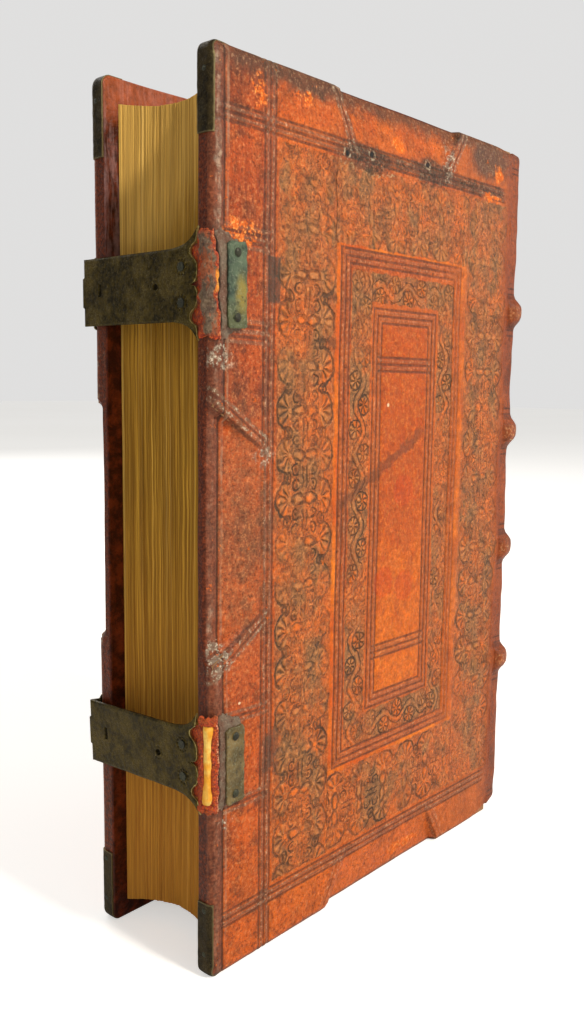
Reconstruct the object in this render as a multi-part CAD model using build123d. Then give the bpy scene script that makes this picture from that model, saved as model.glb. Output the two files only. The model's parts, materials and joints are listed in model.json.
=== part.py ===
from build123d import *
import math
import os

# An old book in leather over wooden boards, standing on its tail, all in millimetres.
# Bench frame while building: x from the fore-edge to the spine, y from the front cover (minus)
# to the rear cover (plus) with 0 at mid-thickness, z from the tail to the head.

# Overall sizes
book_height = 320.0
book_thickness = 64.0
joint_x = 189.0
shoulder_x = 197.4

# Covers
wood_thickness = 5.6
leather = 1.0
cover_thickness = wood_thickness + 2 * leather
fore_corner_radius = 3.0
turn_in = 24.0
pastedown_thickness = 0.4
pastedown_margin = 0.3
hinge_gap = 0.4
board_end_gap = 0.6

# Bevels of the board edges, each between two slanted stops
bevel_drop = 3.8
fore_bevel_width = 26.5
fore_bevel_edge = 44.0
fore_bevel_inner = 26.5
end_bevel_width = 21.4
end_bevel_edge = 40.0
end_bevel_inner = 27.5
end_bevel_x = 104.5

# Pages
square = 8.5
fore_square = 6.5
hollow = 9.0
page_clearance = 0.3
page_half = book_thickness / 2 - cover_thickness - page_clearance
shoulder_flare = 2.5

# Spine
swell = 9.0
spine_corner = 5.0
tail_band = 79.0
head_band = 73.0
band_count = 4
band_step = (book_height - tail_band - head_band) / (band_count - 1)
band_heights = [tail_band + number * band_step for number in range(band_count)]
band_rise = 3.6
band_width = 8.0
band_taper = 4.0
endband_depth = 4.0
endband_height = 4.5
cap_clearance = 0.2
cap_reach = 3.0

# Sewing supports laced into the boards
slip_length = 22.0
slip_depth = 2.0
peg_radius = 2.5

# Clasps: a hooked brass plate riveted to a leather strap that turns round the front fore-edge
clasp_heights = {"upper": book_height - 76.0, "lower": 81.0}
clasp_tilts = {"upper": 0.0, "lower": 2.9}
clasp_half_width = 11.9
horn_half_width = 18.3
plate_thickness = 1.1
backing_thickness = 0.5
strap_thickness = 1.6
edge_clearance = 0.3
clasp_start = 4.0
horn_lead = 0.2
horn_rise = 1.6
flare_length = 13.0
flare_middle = (5.6, 1.9)
scallop_depth = 3.4
scallop_middle_drop = 1.3
scallop_end = (1.6, 4.2)
lobe_crest = 4.6
slit_half = 0.25
slit_length = 4.0
lobe_inset = 1.4
strap_gap = 0.3
sandwich_length = 13.0
hook_length = 8.0
hook_clearance = 0.25
rivet_radius = 0.8
rivet_head_height = 0.4
rivet_run = 7.4
rivet_spread = 5.8
hole_run = 20.6
hole_radius = 1.1
layer_start = 4.4
layer_margin = 1.0
layer_corner = 2.0

# Straps on the front cover
strap_half_width = 17.4
strap_reach = 13.0
strap_bend = 3.0
core_half_length = 14.5
core_width = 2.2
core_margin = 0.4
core_thickness = 0.7

# Anchor and catch plates
anchor_heights = {"upper": book_height - 75.8, "lower": 79.0}
anchor_half_length = 14.0
anchor_x = 4.8
anchor_width = 8.7
anchor_thickness = 0.8
anchor_corner = 0.8
anchor_nail_margin = 3.5
catch_thickness = 0.6
catch_x = 0.4
catch_width = 16.0
catch_half_length = 13.0
catch_corner = 1.5
catch_nail_margin = 3.5
catch_nail_inset = 3.0

# Edge guards on the fore-edge corners
guard_thickness = 0.7
guard_length = 28.5
guard_return = 9.0
guard_margin = 0.6
guard_nail_z = 9.0
guard_nail_margin = 3.0

# Nails
nail_head_radius = 1.5
nail_head_height = 0.7
nail_shank_radius = 0.6
nail_length = 5.0

front_y = -book_thickness / 2
clasp_start_y = front_y + clasp_start
rivet_y = clasp_start_y + rivet_run
hole_y = clasp_start_y + hole_run
cover_inner_y = front_y + cover_thickness
strap_inner_x = -edge_clearance - backing_thickness
strap_outer_x = strap_inner_x - strap_thickness
clasp_outer_x = strap_outer_x - plate_thickness
catch_top_y = book_thickness / 2 + catch_thickness
hook_y = catch_top_y + hook_clearance
clasp_end_y = hook_y + plate_thickness
anchor_base_y = front_y - strap_thickness
x_low = clasp_outer_x - rivet_head_height
x_high = shoulder_x + swell + band_rise
y_low = min(anchor_base_y - anchor_thickness - nail_head_height, front_y - band_rise)
y_high = max(clasp_end_y, book_thickness / 2 + band_rise)
home = Pos(-(x_low + x_high) / 2, -(y_low + y_high) / 2, 0)


def slab(x0, x1, y0, y1, z0, z1):
    """A block between two corners."""
    centre = Pos((x0 + x1) / 2, (y0 + y1) / 2, (z0 + z1) / 2)
    return centre * Box(x1 - x0, y1 - y0, z1 - z0)


def upright(sketch, z0, z1):
    """A section drawn in X and Y, from z0 up to z1."""
    return Pos(0, 0, z0) * extrude(sketch, z1 - z0)


def facing(sketch, y0, y1):
    """A shape drawn in X and Z, from y0 to y1."""
    return Pos(0, y1, 0) * extrude(Plane.XZ * sketch, y1 - y0)


def other_side(shape):
    """The same shape for the rear cover."""
    return mirror(shape, about=Plane.XZ)


def joined(shapes):
    """One node that holds several separate solids."""
    return Compound([solid for shape in shapes for solid in shape.solids()])


def nail(length):
    """A domed nail along +Z, with the underside of its head at the origin."""
    sphere_radius = (nail_head_radius**2 + nail_head_height**2) / (2 * nail_head_height)
    dome = Pos(0, 0, nail_head_height - sphere_radius) * Sphere(sphere_radius)
    wide = 6 * nail_head_radius
    head = dome & (Pos(0, 0, nail_head_height / 2) * Box(wide, wide, nail_head_height))
    shank = Pos(0, 0, -length / 2) * Cylinder(nail_shank_radius, length)
    return head + shank


def nail_at(point, outward, length=nail_length):
    """A nail whose head sits on a surface at point and faces outward."""
    return Plane(origin=point, z_dir=outward) * nail(length)


# Cover outline and bevels


def cover_outline(inset, end_gap):
    """A cover seen from the front, set in by inset on its three free edges."""
    width = joint_x - end_gap - inset
    outline = Rectangle(width, book_height - 2 * inset)
    corners = outline.vertices().group_by(Axis.X)[0]
    outline = fillet(corners, fore_corner_radius - inset)
    return Pos(inset + width / 2, book_height / 2) * outline


def bevel_wedge(edge_half, inner_half, width, skin):
    """What a bevel takes off: u along the edge, v inward, depth inward from the outer face."""
    over = 4.0
    slope = (edge_half - inner_half) / width
    trapezoid = Polygon(
        (-edge_half - skin - slope * over, -over),
        (edge_half + skin + slope * over, -over),
        (inner_half + skin, width),
        (-inner_half - skin, width),
        align=None,
    )
    section = Polygon(
        (-over, -over),
        (width, -over),
        (width, skin),
        (-over, bevel_drop * (1 + over / width) + skin),
        align=None,
    )
    plan = Pos(0, 0, -over) * extrude(trapezoid, 4 * over)
    lengthwise = Plane(origin=(-2 * edge_half, 0, 0), x_dir=(0, 1, 0), z_dir=(1, 0, 0))
    return plan & extrude(lengthwise * section, 4 * edge_half)


def bevel_cuts(skin):
    """The three bevels of the front cover; the wood's are deeper by the leather."""
    middle = book_height / 2
    fore = Plane(origin=(0, front_y, middle), x_dir=(0, 0, 1), z_dir=(0, 1, 0))
    head = Plane(origin=(end_bevel_x, front_y, book_height), x_dir=(1, 0, 0), z_dir=(0, 1, 0))
    tail = Plane(origin=(end_bevel_x, front_y, 0), x_dir=(-1, 0, 0), z_dir=(0, 1, 0))
    end_wedge = bevel_wedge(end_bevel_edge, end_bevel_inner, end_bevel_width, skin)
    fore_wedge = bevel_wedge(fore_bevel_edge, fore_bevel_inner, fore_bevel_width, skin)
    return [fore * fore_wedge, head * end_wedge, tail * end_wedge]


def cover_body():
    """The whole front cover, leather and wood together."""
    body = facing(cover_outline(0, hinge_gap / 2), front_y, cover_inner_y)
    for cut in bevel_cuts(0):
        body = body - cut
    return body


def plain_board(end_gap):
    """The wooden board inside the front cover's leather, ending end_gap short of the joint."""
    outline = cover_outline(leather, end_gap)
    board = facing(outline, front_y + leather, cover_inner_y - leather)
    for cut in bevel_cuts(leather):
        board = board - cut
    return board


def lining_window(margin):
    """The area inside the turned-in leather, where the pastedown lies."""
    x0 = turn_in + margin
    x1 = joint_x - board_end_gap
    z0 = turn_in + margin
    centre = Pos((x0 + x1) / 2, book_height / 2)
    return centre * Rectangle(x1 - x0, book_height - 2 * z0)


def slips():
    """The ends of the sewing supports, let into the board's outer face."""
    made = []
    for z in band_heights:
        x1 = joint_x - board_end_gap
        y0 = front_y + leather
        z0 = z - band_width / 2
        made.append(slab(x1 - slip_length, x1, y0, y0 + slip_depth, z0, z0 + band_width))
    return made


def pegs():
    """Wooden pegs that hold the slips in the board."""
    made = []
    y0 = front_y + leather + slip_depth
    length = cover_inner_y - leather - y0
    for z in band_heights:
        x = joint_x - board_end_gap - slip_length + peg_radius
        made.append(Pos(x, y0 + length / 2, z) * Rot(90, 0, 0) * Cylinder(peg_radius, length))
    return made


def guard(at_head):
    """A thin metal strip over a fore-edge corner, pressed flush into the leather."""
    z_edge = book_height if at_head else 0
    inward = -1 if at_head else 1
    ring = cover_outline(0, 0) - cover_outline(guard_thickness, 0)
    reach_x = guard_return
    reach_z = guard_length
    corner = Pos(reach_x / 2, z_edge + inward * reach_z / 2) * Rectangle(reach_x, reach_z)
    return facing(ring & corner, front_y + guard_margin, cover_inner_y - guard_margin)


def guard_nails():
    """Two nails through the guards, into the fore-edge of the board."""
    y = (front_y + cover_inner_y) / 2
    heights = (guard_nail_z, book_height - guard_nail_z, guard_length - guard_nail_margin)
    return [nail_at((0, y, z), (-1, 0, 0)) for z in heights]


# Clasps and straps


def clasp_outline():
    """The clasp plate in its own plane: x is the bench y, y is the height from its middle."""
    half = clasp_half_width
    horn = horn_half_width
    start = clasp_start_y
    hook_run_on = clasp_end_y + 2.0
    tip = (start - horn_lead, horn)
    with BuildSketch() as outline:
        with BuildLine():
            edge = Line((hook_run_on, 0), (hook_run_on, half))
            top = Line(edge @ 1, (start + flare_length, half))
            flare = ThreePointArc(top @ 1, (start + flare_middle[0], half + flare_middle[1]), tip)
            horn_side = Line(flare @ 1, (start, half + horn_rise))
            scallop_middle = (start + scallop_depth, half - scallop_middle_drop)
            scallop_stop = (start + scallop_end[0], half - scallop_end[1])
            scallop = ThreePointArc(horn_side @ 1, scallop_middle, scallop_stop)
            lobe = ThreePointArc(scallop @ 1, (start, lobe_crest), (start + lobe_inset, slit_half))
            slit = Line(lobe @ 1, (start + slit_length, slit_half))
            Polyline(slit @ 1, (start + slit_length, 0), (hook_run_on, 0))
        make_face()
    upper_half = outline.sketch
    return upper_half + mirror(upper_half, about=Plane.XZ)


def clasp_frame(name):
    """Turns the clasp's own plane up to the fore-edge: outline x to bench y, outline y to z."""
    upright_plane = Plane(origin=(0, 0, 0), x_dir=(0, 1, 0), z_dir=(1, 0, 0))
    place = Pos(0, clasp_start_y, clasp_heights[name])
    tilt = place * Rot(-clasp_tilts[name], 0, 0) * Pos(0, -clasp_start_y, 0)
    return tilt, upright_plane


def rivets_at():
    """Places of the two rivets in the clasp's own plane."""
    return [(rivet_y, rivet_spread), (rivet_y, -rivet_spread)]


def clasp_plate(name):
    """The outer brass plate with its hooked end over the rear cover."""
    tilt, plane = clasp_frame(name)
    face = clasp_outline()
    for y, z in rivets_at():
        face = face - Pos(y, z) * Circle(rivet_radius)
    face = face - Pos(hole_y, 0) * Circle(hole_radius)
    plate = tilt * (Pos(clasp_outer_x, 0, 0) * extrude(plane * face, plate_thickness))
    z0 = catch_height(name) - clasp_half_width
    z1 = catch_height(name) + clasp_half_width
    x0 = clasp_outer_x
    over = 9.0
    past_hook = slab(x0 - 1, strap_outer_x + 1, hook_y, clasp_end_y + over, z0 - over, z1 + over)
    plate = plate - past_hook
    hook = slab(x0, x0 + hook_length, hook_y, clasp_end_y, z0, z1)
    outer_bend = hook.edges().filter_by(Axis.Z).sort_by(lambda e: e.center().X - e.center().Y)[0]
    return plate + fillet(outer_bend, plate_thickness * 0.8)


def layer(name, half_width, x0, x1):
    """A flat layer of the clasp sandwich, with its rivet holes."""
    tilt, plane = clasp_frame(name)
    y0 = clasp_start_y + layer_start
    y1 = clasp_start_y + sandwich_length
    face = Pos((y0 + y1) / 2, 0) * RectangleRounded(y1 - y0, 2 * half_width, layer_corner)
    for y, z in rivets_at():
        face = face - Pos(y, z) * Circle(rivet_radius)
    return tilt * (Pos(x0, 0, 0) * extrude(plane * face, x1 - x0))


def clasp_rivets(name):
    """Two rivets through plate, strap end and backing, each with a low domed head."""
    tilt, _ = clasp_frame(name)
    length = plate_thickness + strap_thickness + backing_thickness
    made = []
    for y, z in rivets_at():
        shank = Plane(origin=(clasp_outer_x, y, z), z_dir=(-1, 0, 0))
        pin = Pos(0, 0, -length / 2) * Cylinder(rivet_radius, length)
        head = Pos(0, 0, rivet_head_height / 2) * Cylinder(nail_head_radius, rivet_head_height)
        made.append(tilt * (shank * (pin + head)))
    return made


def strap_end_y(name):
    """Where the strap stops, just short of the lowest horn of the clasp's swinging plate."""
    drop = horn_half_width * math.sin(math.radians(clasp_tilts[name]))
    return clasp_start_y - horn_lead - drop - strap_gap


def strap_section(end_y, inner, outer):
    """The strap seen from above, between two offsets from the corner of the cover."""
    inner_x = strap_inner_x - inner
    outer_x = strap_inner_x - outer
    inner_y = front_y - inner
    outer_y = front_y - outer
    band = Polygon(
        (strap_reach, inner_y),
        (inner_x, inner_y),
        (inner_x, end_y),
        (outer_x, end_y),
        (outer_x, outer_y),
        (strap_reach, outer_y),
        align=None,
    )
    corner = band.vertices().sort_by(lambda v: v.X + v.Y)[0]
    return fillet(corner, min(strap_bend, outer + 0.9))


def strap(name):
    """The leather strap round the front fore-edge, from the anchor plate to the clasp."""
    z = clasp_heights[name]
    section = strap_section(strap_end_y(name), 0, strap_thickness)
    return upright(section, z - strap_half_width, z + strap_half_width)


def strap_core():
    """The pale lining that shows where the lower strap has split open."""
    z = clasp_heights["lower"]
    y1 = strap_end_y("lower") - core_margin
    x0 = strap_outer_x + core_thickness / 2
    z0 = z - core_half_length
    return slab(x0, x0 + core_thickness, y1 - core_width, y1, z0, z + core_half_length)


def split_window():
    """The opening torn in the lower strap, out to its surface."""
    z = clasp_heights["lower"]
    y1 = strap_end_y("lower") - core_margin
    z0 = z - core_half_length
    x1 = strap_outer_x + 1.5 * core_thickness
    return slab(strap_outer_x - 1, x1, y1 - core_width, y1, z0, z + core_half_length)


def anchor_plate(name):
    """The strip nailed over the strap's end on the front cover."""
    z = anchor_heights[name]
    y1 = anchor_base_y
    x1 = anchor_x + anchor_width
    z0 = z - anchor_half_length
    plate = slab(anchor_x, x1, y1 - anchor_thickness, y1, z0, z0 + 2 * anchor_half_length)
    return fillet(plate.edges().filter_by(Axis.Y), anchor_corner)


def anchor_nails():
    """Two nails in each anchor plate."""
    made = []
    reach = anchor_half_length - anchor_nail_margin
    for z in anchor_heights.values():
        for nail_z in (z - reach, z + reach):
            point = (anchor_x + anchor_width / 2, anchor_base_y - anchor_thickness, nail_z)
            made.append(nail_at(point, (0, -1, 0), nail_length + strap_thickness))
    return made


def catch_height(name):
    """The height of the hook at the rear cover, which the clasp's tilt lowers."""
    run = book_thickness / 2 - clasp_start_y
    return clasp_heights[name] - run * math.sin(math.radians(clasp_tilts[name]))


def catch_plate(name):
    """The plate on the rear cover that the hook closes over, given for the front side."""
    z = catch_height(name)
    x1 = catch_x + catch_width
    z0 = z - catch_half_length
    plate = slab(catch_x, x1, front_y - catch_thickness, front_y, z0, z0 + 2 * catch_half_length)
    return fillet(plate.edges().filter_by(Axis.Y), catch_corner)


def catch_nails():
    """Two nails in each catch plate, clear of the hook."""
    made = []
    x = catch_x + catch_width - catch_nail_inset
    reach = catch_half_length - catch_nail_margin
    for name in clasp_heights:
        z = catch_height(name)
        for nail_z in (z - reach, z + reach):
            made.append(nail_at((x, front_y - catch_thickness, nail_z), (0, -1, 0)))
    return made


# Pages and spine


def spine_outline(grow):
    """The back of the book from joint to joint, grown outward by grow."""
    half = book_thickness / 2
    start_x = joint_x + hinge_gap / 2
    with BuildSketch() as outline:
        with BuildLine():
            front = Line((start_x, -half), (shoulder_x, -half))
            back = ThreePointArc(front @ 1, (shoulder_x + swell, 0), (shoulder_x, half))
            Polyline(back @ 1, (start_x, half), (start_x, -half))
        make_face()
    shape = outline.sketch
    shoulders = shape.vertices().sort_by(Axis.X)[-2:]
    shape = fillet(shoulders, spine_corner)
    if grow:
        shape = offset(shape, grow, kind=Kind.ARC)
    return shape


def opened(shape, inset):
    """A spine section run on past its open side, towards the pages."""
    half = book_thickness / 2 - inset
    x0 = joint_x - 3.0
    x1 = joint_x + hinge_gap + inset + 1.0
    return shape + Pos((x0 + x1) / 2, 0) * Rectangle(x1 - x0, 2 * half)


def beyond(x, width):
    """Everything on the spine's side of x, within width of thickness."""
    run = 2 * (x_high - joint_x)
    return Pos(x + run / 2, 0) * Rectangle(run, width)


def spine_zone(taper_start):
    """The spine's side of both joints, opening outward so that the bands taper to the joint."""
    half = book_thickness / 2
    x0 = joint_x + hinge_gap / 2
    far = x_high + 5
    side = half + 2 * band_rise
    rise = band_rise + 1
    taper = band_taper * rise / band_rise
    return Polygon(
        (x0, -half + taper_start),
        (x0 + taper, -half + taper_start - rise),
        (x0 + taper, -side),
        (far, -side),
        (far, side),
        (x0 + taper, side),
        (x0 + taper, half - taper_start + rise),
        (x0, half - taper_start),
        align=None,
    )


def page_section():
    """The pages from above: hollow fore-edge, flat sides and a shouldered round back."""
    side_x = joint_x + hinge_gap / 2
    with BuildSketch() as outline:
        with BuildLine():
            deepest = (fore_square + hollow, 0)
            fore = ThreePointArc((fore_square, page_half), deepest, (fore_square, -page_half))
            Polyline(fore @ 1, (side_x, -page_half), (side_x, page_half), (fore_square, page_half))
        make_face()
    half = book_thickness / 2
    inside = spine_outline(-leather)
    flared = Polygon(
        (side_x - 0.01, -page_half),
        (side_x + shoulder_flare, -half),
        (x_high, -half),
        (x_high, half),
        (side_x + shoulder_flare, half),
        (side_x - 0.01, page_half),
        align=None,
    )
    return outline.sketch + (opened(inside, leather) & flared)


def text_block():
    """All the leaves, pressed and sewn into one block."""
    return upright(page_section(), square, book_height - square)


def sewing_support(z):
    """A raised sewing support across the back of the pages."""
    ring = spine_outline(band_rise - leather) - opened(spine_outline(-leather), leather)
    return upright(ring & spine_zone(leather), z - band_width / 2, z + band_width / 2)


def endband(at_head):
    """The sewn band at one end of the pages, inside the leather cap."""
    inset = 2 * leather + cap_clearance
    ring = spine_outline(-inset) - opened(spine_outline(-inset - endband_depth), inset + endband_depth)
    ring = ring & beyond(shoulder_x - spine_corner, book_thickness - 2 * inset - 2 * spine_corner)
    z0 = book_height - square if at_head else square - endband_height
    return upright(ring, z0, z0 + endband_height)


def spine_leather(supports):
    """Leather over the back, raised over the supports and doubled in the two caps."""
    outer = spine_outline(0)
    shell = upright(outer - opened(spine_outline(-leather), leather), 0, book_height)
    cap = outer - opened(spine_outline(-2 * leather), 2 * leather)
    cap = cap & beyond(shoulder_x - cap_reach, 2 * book_thickness)
    shell = shell + upright(cap, 0, square - cap_clearance)
    shell = shell + upright(cap, book_height - square + cap_clearance, book_height)
    ridge_half = band_width / 2 + leather
    for z in band_heights:
        ridge = upright(spine_outline(band_rise) - outer, z - ridge_half, z + ridge_half)
        shell = shell + (ridge & upright(spine_zone(0), z - ridge_half - 1, z + ridge_half + 1))
    for support in supports:
        shell = shell - support
    return shell


# Assembly of each cover


def cut_by(shape, tools):
    """The shape with clean holes for what passes through it."""
    for tool in tools:
        shape = shape - tool
    return shape


def save(name, shape):
    """One STEP file for one named piece, in the part's frame."""
    export_step(home * shape, f"parts/{name}.step")


os.makedirs("parts", exist_ok=True)

supports = [sewing_support(z) for z in band_heights]
save("text_block", text_block())
for number, support in enumerate(supports, start=1):
    save(f"sewing_support_{number}", support)
save("spine_leather", spine_leather(supports))
save("head_endband", endband(True))
save("tail_endband", endband(False))

body = cover_body()
board = cut_by(plain_board(board_end_gap), slips() + pegs())
pastedown_y = cover_inner_y - leather
window = facing(lining_window(0), pastedown_y, cover_inner_y + 1)
skin = body - plain_board(hinge_gap / 2) - window
guards = {"head": guard(True), "tail": guard(False)}
edge_nails = guard_nails()
pastedown = facing(lining_window(pastedown_margin), pastedown_y, pastedown_y + pastedown_thickness)
skin = cut_by(skin, list(guards.values()) + edge_nails)
board = cut_by(board, edge_nails)

straps = {name: strap(name) for name in clasp_heights}
plate_nails = anchor_nails()
core = strap_core()
straps["lower"] = cut_by(straps["lower"], [core, split_window()])
save("front_board", cut_by(board, plate_nails))
save("front_leather", cut_by(skin, plate_nails))
save("front_pastedown", pastedown)
save("front_slips", joined(slips()))
save("front_pegs", joined(pegs()))
save("front_edge_nails", joined(edge_nails))
save("anchor_nails", joined(plate_nails))
save("lower_strap_core", core)
for end, strip in guards.items():
    save(f"front_{end}_guard", cut_by(strip, edge_nails))
for name in clasp_heights:
    save(f"{name}_strap", cut_by(straps[name], plate_nails))
    save(f"{name}_anchor_plate", cut_by(anchor_plate(name), plate_nails))

rear_nails = catch_nails()
save("rear_board", other_side(cut_by(board, rear_nails)))
save("rear_leather", other_side(cut_by(skin, rear_nails)))
save("rear_pastedown", other_side(pastedown))
save("rear_slips", other_side(joined(slips())))
save("rear_pegs", other_side(joined(pegs())))
save("rear_edge_nails", other_side(joined(edge_nails)))
save("catch_nails", other_side(joined(rear_nails)))
for end, strip in guards.items():
    save(f"rear_{end}_guard", other_side(cut_by(strip, edge_nails)))
for name in clasp_heights:
    save(f"{name}_catch_plate", other_side(cut_by(catch_plate(name), rear_nails)))

layer_half = clasp_half_width - layer_margin
for name in clasp_heights:
    save(f"{name}_clasp_plate", clasp_plate(name))
    save(f"{name}_clasp_backing", layer(name, layer_half, strap_inner_x, -edge_clearance))
    save(f"{name}_strap_end", layer(name, layer_half, strap_outer_x, strap_inner_x))
    save(f"{name}_clasp_rivets", joined(clasp_rivets(name)))
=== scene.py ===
"""An old leather book, standing on its tail: tooled covers with bevelled edges, two clasps, raised bands.

Book millimetres, used throughout: x from the fore-edge to the spine, y from the front cover (minus) to the
rear cover (plus) with 0 at mid-thickness, z from the tail up to the head.
"""

import json
import math

import bmesh
import bpy
import numpy as np
from mathutils import Matrix, Vector


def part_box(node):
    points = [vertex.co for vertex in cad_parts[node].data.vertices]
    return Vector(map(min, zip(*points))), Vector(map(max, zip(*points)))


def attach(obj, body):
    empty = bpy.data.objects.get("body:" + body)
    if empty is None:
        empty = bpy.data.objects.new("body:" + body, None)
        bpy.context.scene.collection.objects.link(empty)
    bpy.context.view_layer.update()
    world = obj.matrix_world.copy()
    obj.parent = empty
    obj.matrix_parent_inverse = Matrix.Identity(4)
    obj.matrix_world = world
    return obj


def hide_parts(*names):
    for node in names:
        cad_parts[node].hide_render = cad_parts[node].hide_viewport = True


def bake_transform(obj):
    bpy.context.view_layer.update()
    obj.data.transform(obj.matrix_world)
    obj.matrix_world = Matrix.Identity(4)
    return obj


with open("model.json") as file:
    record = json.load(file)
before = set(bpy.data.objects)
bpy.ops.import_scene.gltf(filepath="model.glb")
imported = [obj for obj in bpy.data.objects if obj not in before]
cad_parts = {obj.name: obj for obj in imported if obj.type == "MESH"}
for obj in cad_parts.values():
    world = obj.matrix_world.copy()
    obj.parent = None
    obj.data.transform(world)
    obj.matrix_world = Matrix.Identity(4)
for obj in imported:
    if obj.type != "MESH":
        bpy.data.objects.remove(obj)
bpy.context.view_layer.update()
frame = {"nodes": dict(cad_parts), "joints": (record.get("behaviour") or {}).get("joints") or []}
nodes = frame["nodes"]
joints = {joint["name"]: joint for joint in frame["joints"]}

MM = 0.001

# ---------------------------------------------------------------- sizes read from the frame

cover_low, cover_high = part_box("front_leather")
page_low, page_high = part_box("text_block")
spine_low, spine_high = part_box("spine_leather")
FORE_X = cover_low.x
HEIGHT = cover_high.z / MM
HALF = -cover_low.y / MM
COVER = (cover_high.y - cover_low.y) / MM
JOINT = (joints["front_cover_hinge"]["pos_m"][0] - FORE_X) / MM
SPINE_BACK = (spine_high.x - FORE_X) / MM
PAGE_TAIL = page_low.z / MM
PAGE_HEAD = page_high.z / MM

# Covers
CORNER = 3.6
OUTER_ROUND = (3.5, 2.6)
INNER_ROUND = 0.8
TURN_IN = 24.0
SPINE_SKIN = 2.0
BEVEL_DROP = 3.8
FORE_BEVEL = {"width": 26.5, "edge": 44.0, "inner": 26.5, "middle": HEIGHT / 2}
END_BEVEL = {"width": 21.4, "edge": 40.0, "inner": 27.5, "middle": 104.5}

# Spine
BAND_RISE = 3.6
SHOULDER = SPINE_BACK - BAND_RISE - 9.0
SWELL = 9.0
SHOULDER_ROUND = 5.0
BANDS = []
for number in range(1, 5):
    band_low, band_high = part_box(f"sewing_support_{number}")
    BANDS.append((band_low.z + band_high.z) / 2 / MM)

# Tooling: blind lines and two rolls, each round a frame of its own
RIM_LINE = 5.2
LINE_X = 26.7
LINE_HEAD = 298.7
LINE_TAIL = 20.9
WIDE_OUTER = (31.0, 186.7, 25.6, 294.4)
WIDE_INNER = (63.0, 153.6, 57.6, 264.5)
FRAME_LINES = (68.7, 146.4, 62.4, 260.4)
NARROW_OUTER = (72.5, 144.0, 65.2, 255.4)
NARROW_INNER = (85.3, 132.0, 78.2, 244.2)
PANEL_LINES = (89.6, 127.6, 82.0, 239.2)
CROSS_LINES = (220.4, 102.4)
NAIL_HOLES = ((68.3, 297.0), (83.2, 299.0), (121.6, 302.0))
CLASP_LINES = (257.2, 260.2, 226.0, 229.6, 93.9, 61.4)
PANEL_FIELD = (92.5, 124.5, 84.5, 236.5)

# Marks of wear on a cover, each with its place, half width and half height
HEAD_STAINS = ((81, 297.5, 16, 5), (125, 299.5, 16, 5.5))
ROUND_STAINS = ((109.9, 168.5, 7.0, 6.8), (97.1, 131.2, 6.4, 6.4), (111.5, 128.0, 6.4, 6.4))
CORNER_DIRT = ((170, 313, 17, 9), (45, 318, 22, 6))
CHAFED = ((4, 221, 5.5, 4), (4, 118, 5, 6), (5, 57.5, 4, 2))
TORN = ((101.5, 306, 3.6, 2.2), (177.5, 306.8, 3.0, 3.6), (173, 296.5, 7, 1.3))
FRAYED = ((21, 308, 3, 5), (44, 311, 4, 1.6), (14, 262, 8, 4))
PALE_CHIPS = ((97.5, 204.2, 0.8, 0.7), (13.0, 100.0, 0.6, 0.5))

UPPER_CLASP = joints["upper_clasp_hinge"]["pos_m"][2] / MM
LOWER_CLASP = joints["lower_clasp_hinge"]["pos_m"][2] / MM
LOWER_TILT = math.radians(2.9)


def at(x, y, z):
    """Points in the frame, in metres, from book millimetres."""
    x, y, z = np.broadcast_arrays(x, y, z)
    return np.stack([x * MM + FORE_X, y * MM, z * MM], -1)


def smooth(low, high, value):
    """0 below low, 1 above high, and a smooth step between."""
    part = np.clip((value - low) / (high - low), 0, 1)
    return part * part * (3 - 2 * part)


def ripple(seed, length, *places):
    """Gentle unevenness: sine waves of about one length, in random directions, added up."""
    rng = np.random.default_rng(seed)
    total = 0.0
    waves = 9
    for _ in range(waves):
        heading = rng.normal(size=len(places))
        heading /= np.linalg.norm(heading)
        run = sum(part * place for part, place in zip(heading, places))
        total = total + np.sin(2 * math.pi * run / (length * rng.uniform(0.6, 1.7)) + rng.uniform(0, 6.28))
    return total / math.sqrt(waves)


# ---------------------------------------------------------------- meshes


def grid_faces(rows, columns, first=0, flip=False):
    """The quads between neighbouring points of a grid."""
    index = np.arange(rows * columns).reshape(rows, columns) + first
    quads = np.stack([index[:-1, :-1], index[:-1, 1:], index[1:, 1:], index[1:, :-1]], -1).reshape(-1, 4)
    return quads[:, ::-1] if flip else quads


def make_piece(name, grids, flips=None, uvs=None, material=None, closed=False, sharp=40.0):
    """One mesh from several grids of points, with the points that meet made one."""
    flips = flips or [False] * len(grids)
    points, quads, first = [], [], 0
    for grid, flip in zip(grids, flips):
        rows, columns = grid.shape[:2]
        points.append(grid.reshape(-1, 3))
        quads.append(grid_faces(rows, columns, first, flip))
        first += rows * columns
    mesh = bpy.data.meshes.new(name)
    faces = np.concatenate(quads)
    mesh.from_pydata(np.concatenate(points).tolist(), [], faces.tolist())
    if uvs is not None:
        layer = mesh.uv_layers.new(name="surface")
        flat = np.concatenate([uv.reshape(-1, 2) for uv in uvs])
        layer.data.foreach_set("uv", flat[faces.reshape(-1)].reshape(-1))
    work = bmesh.new()
    work.from_mesh(mesh)
    bmesh.ops.remove_doubles(work, verts=work.verts, dist=0.00002)
    if closed:
        bmesh.ops.recalc_face_normals(work, faces=work.faces)
    work.to_mesh(mesh)
    work.free()
    for polygon in mesh.polygons:
        polygon.use_smooth = True
    mesh.set_sharp_from_angle(angle=math.radians(sharp))
    piece = bpy.data.objects.new(name, mesh)
    bpy.context.scene.collection.objects.link(piece)
    if material:
        mesh.materials.append(material)
    return piece


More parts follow.
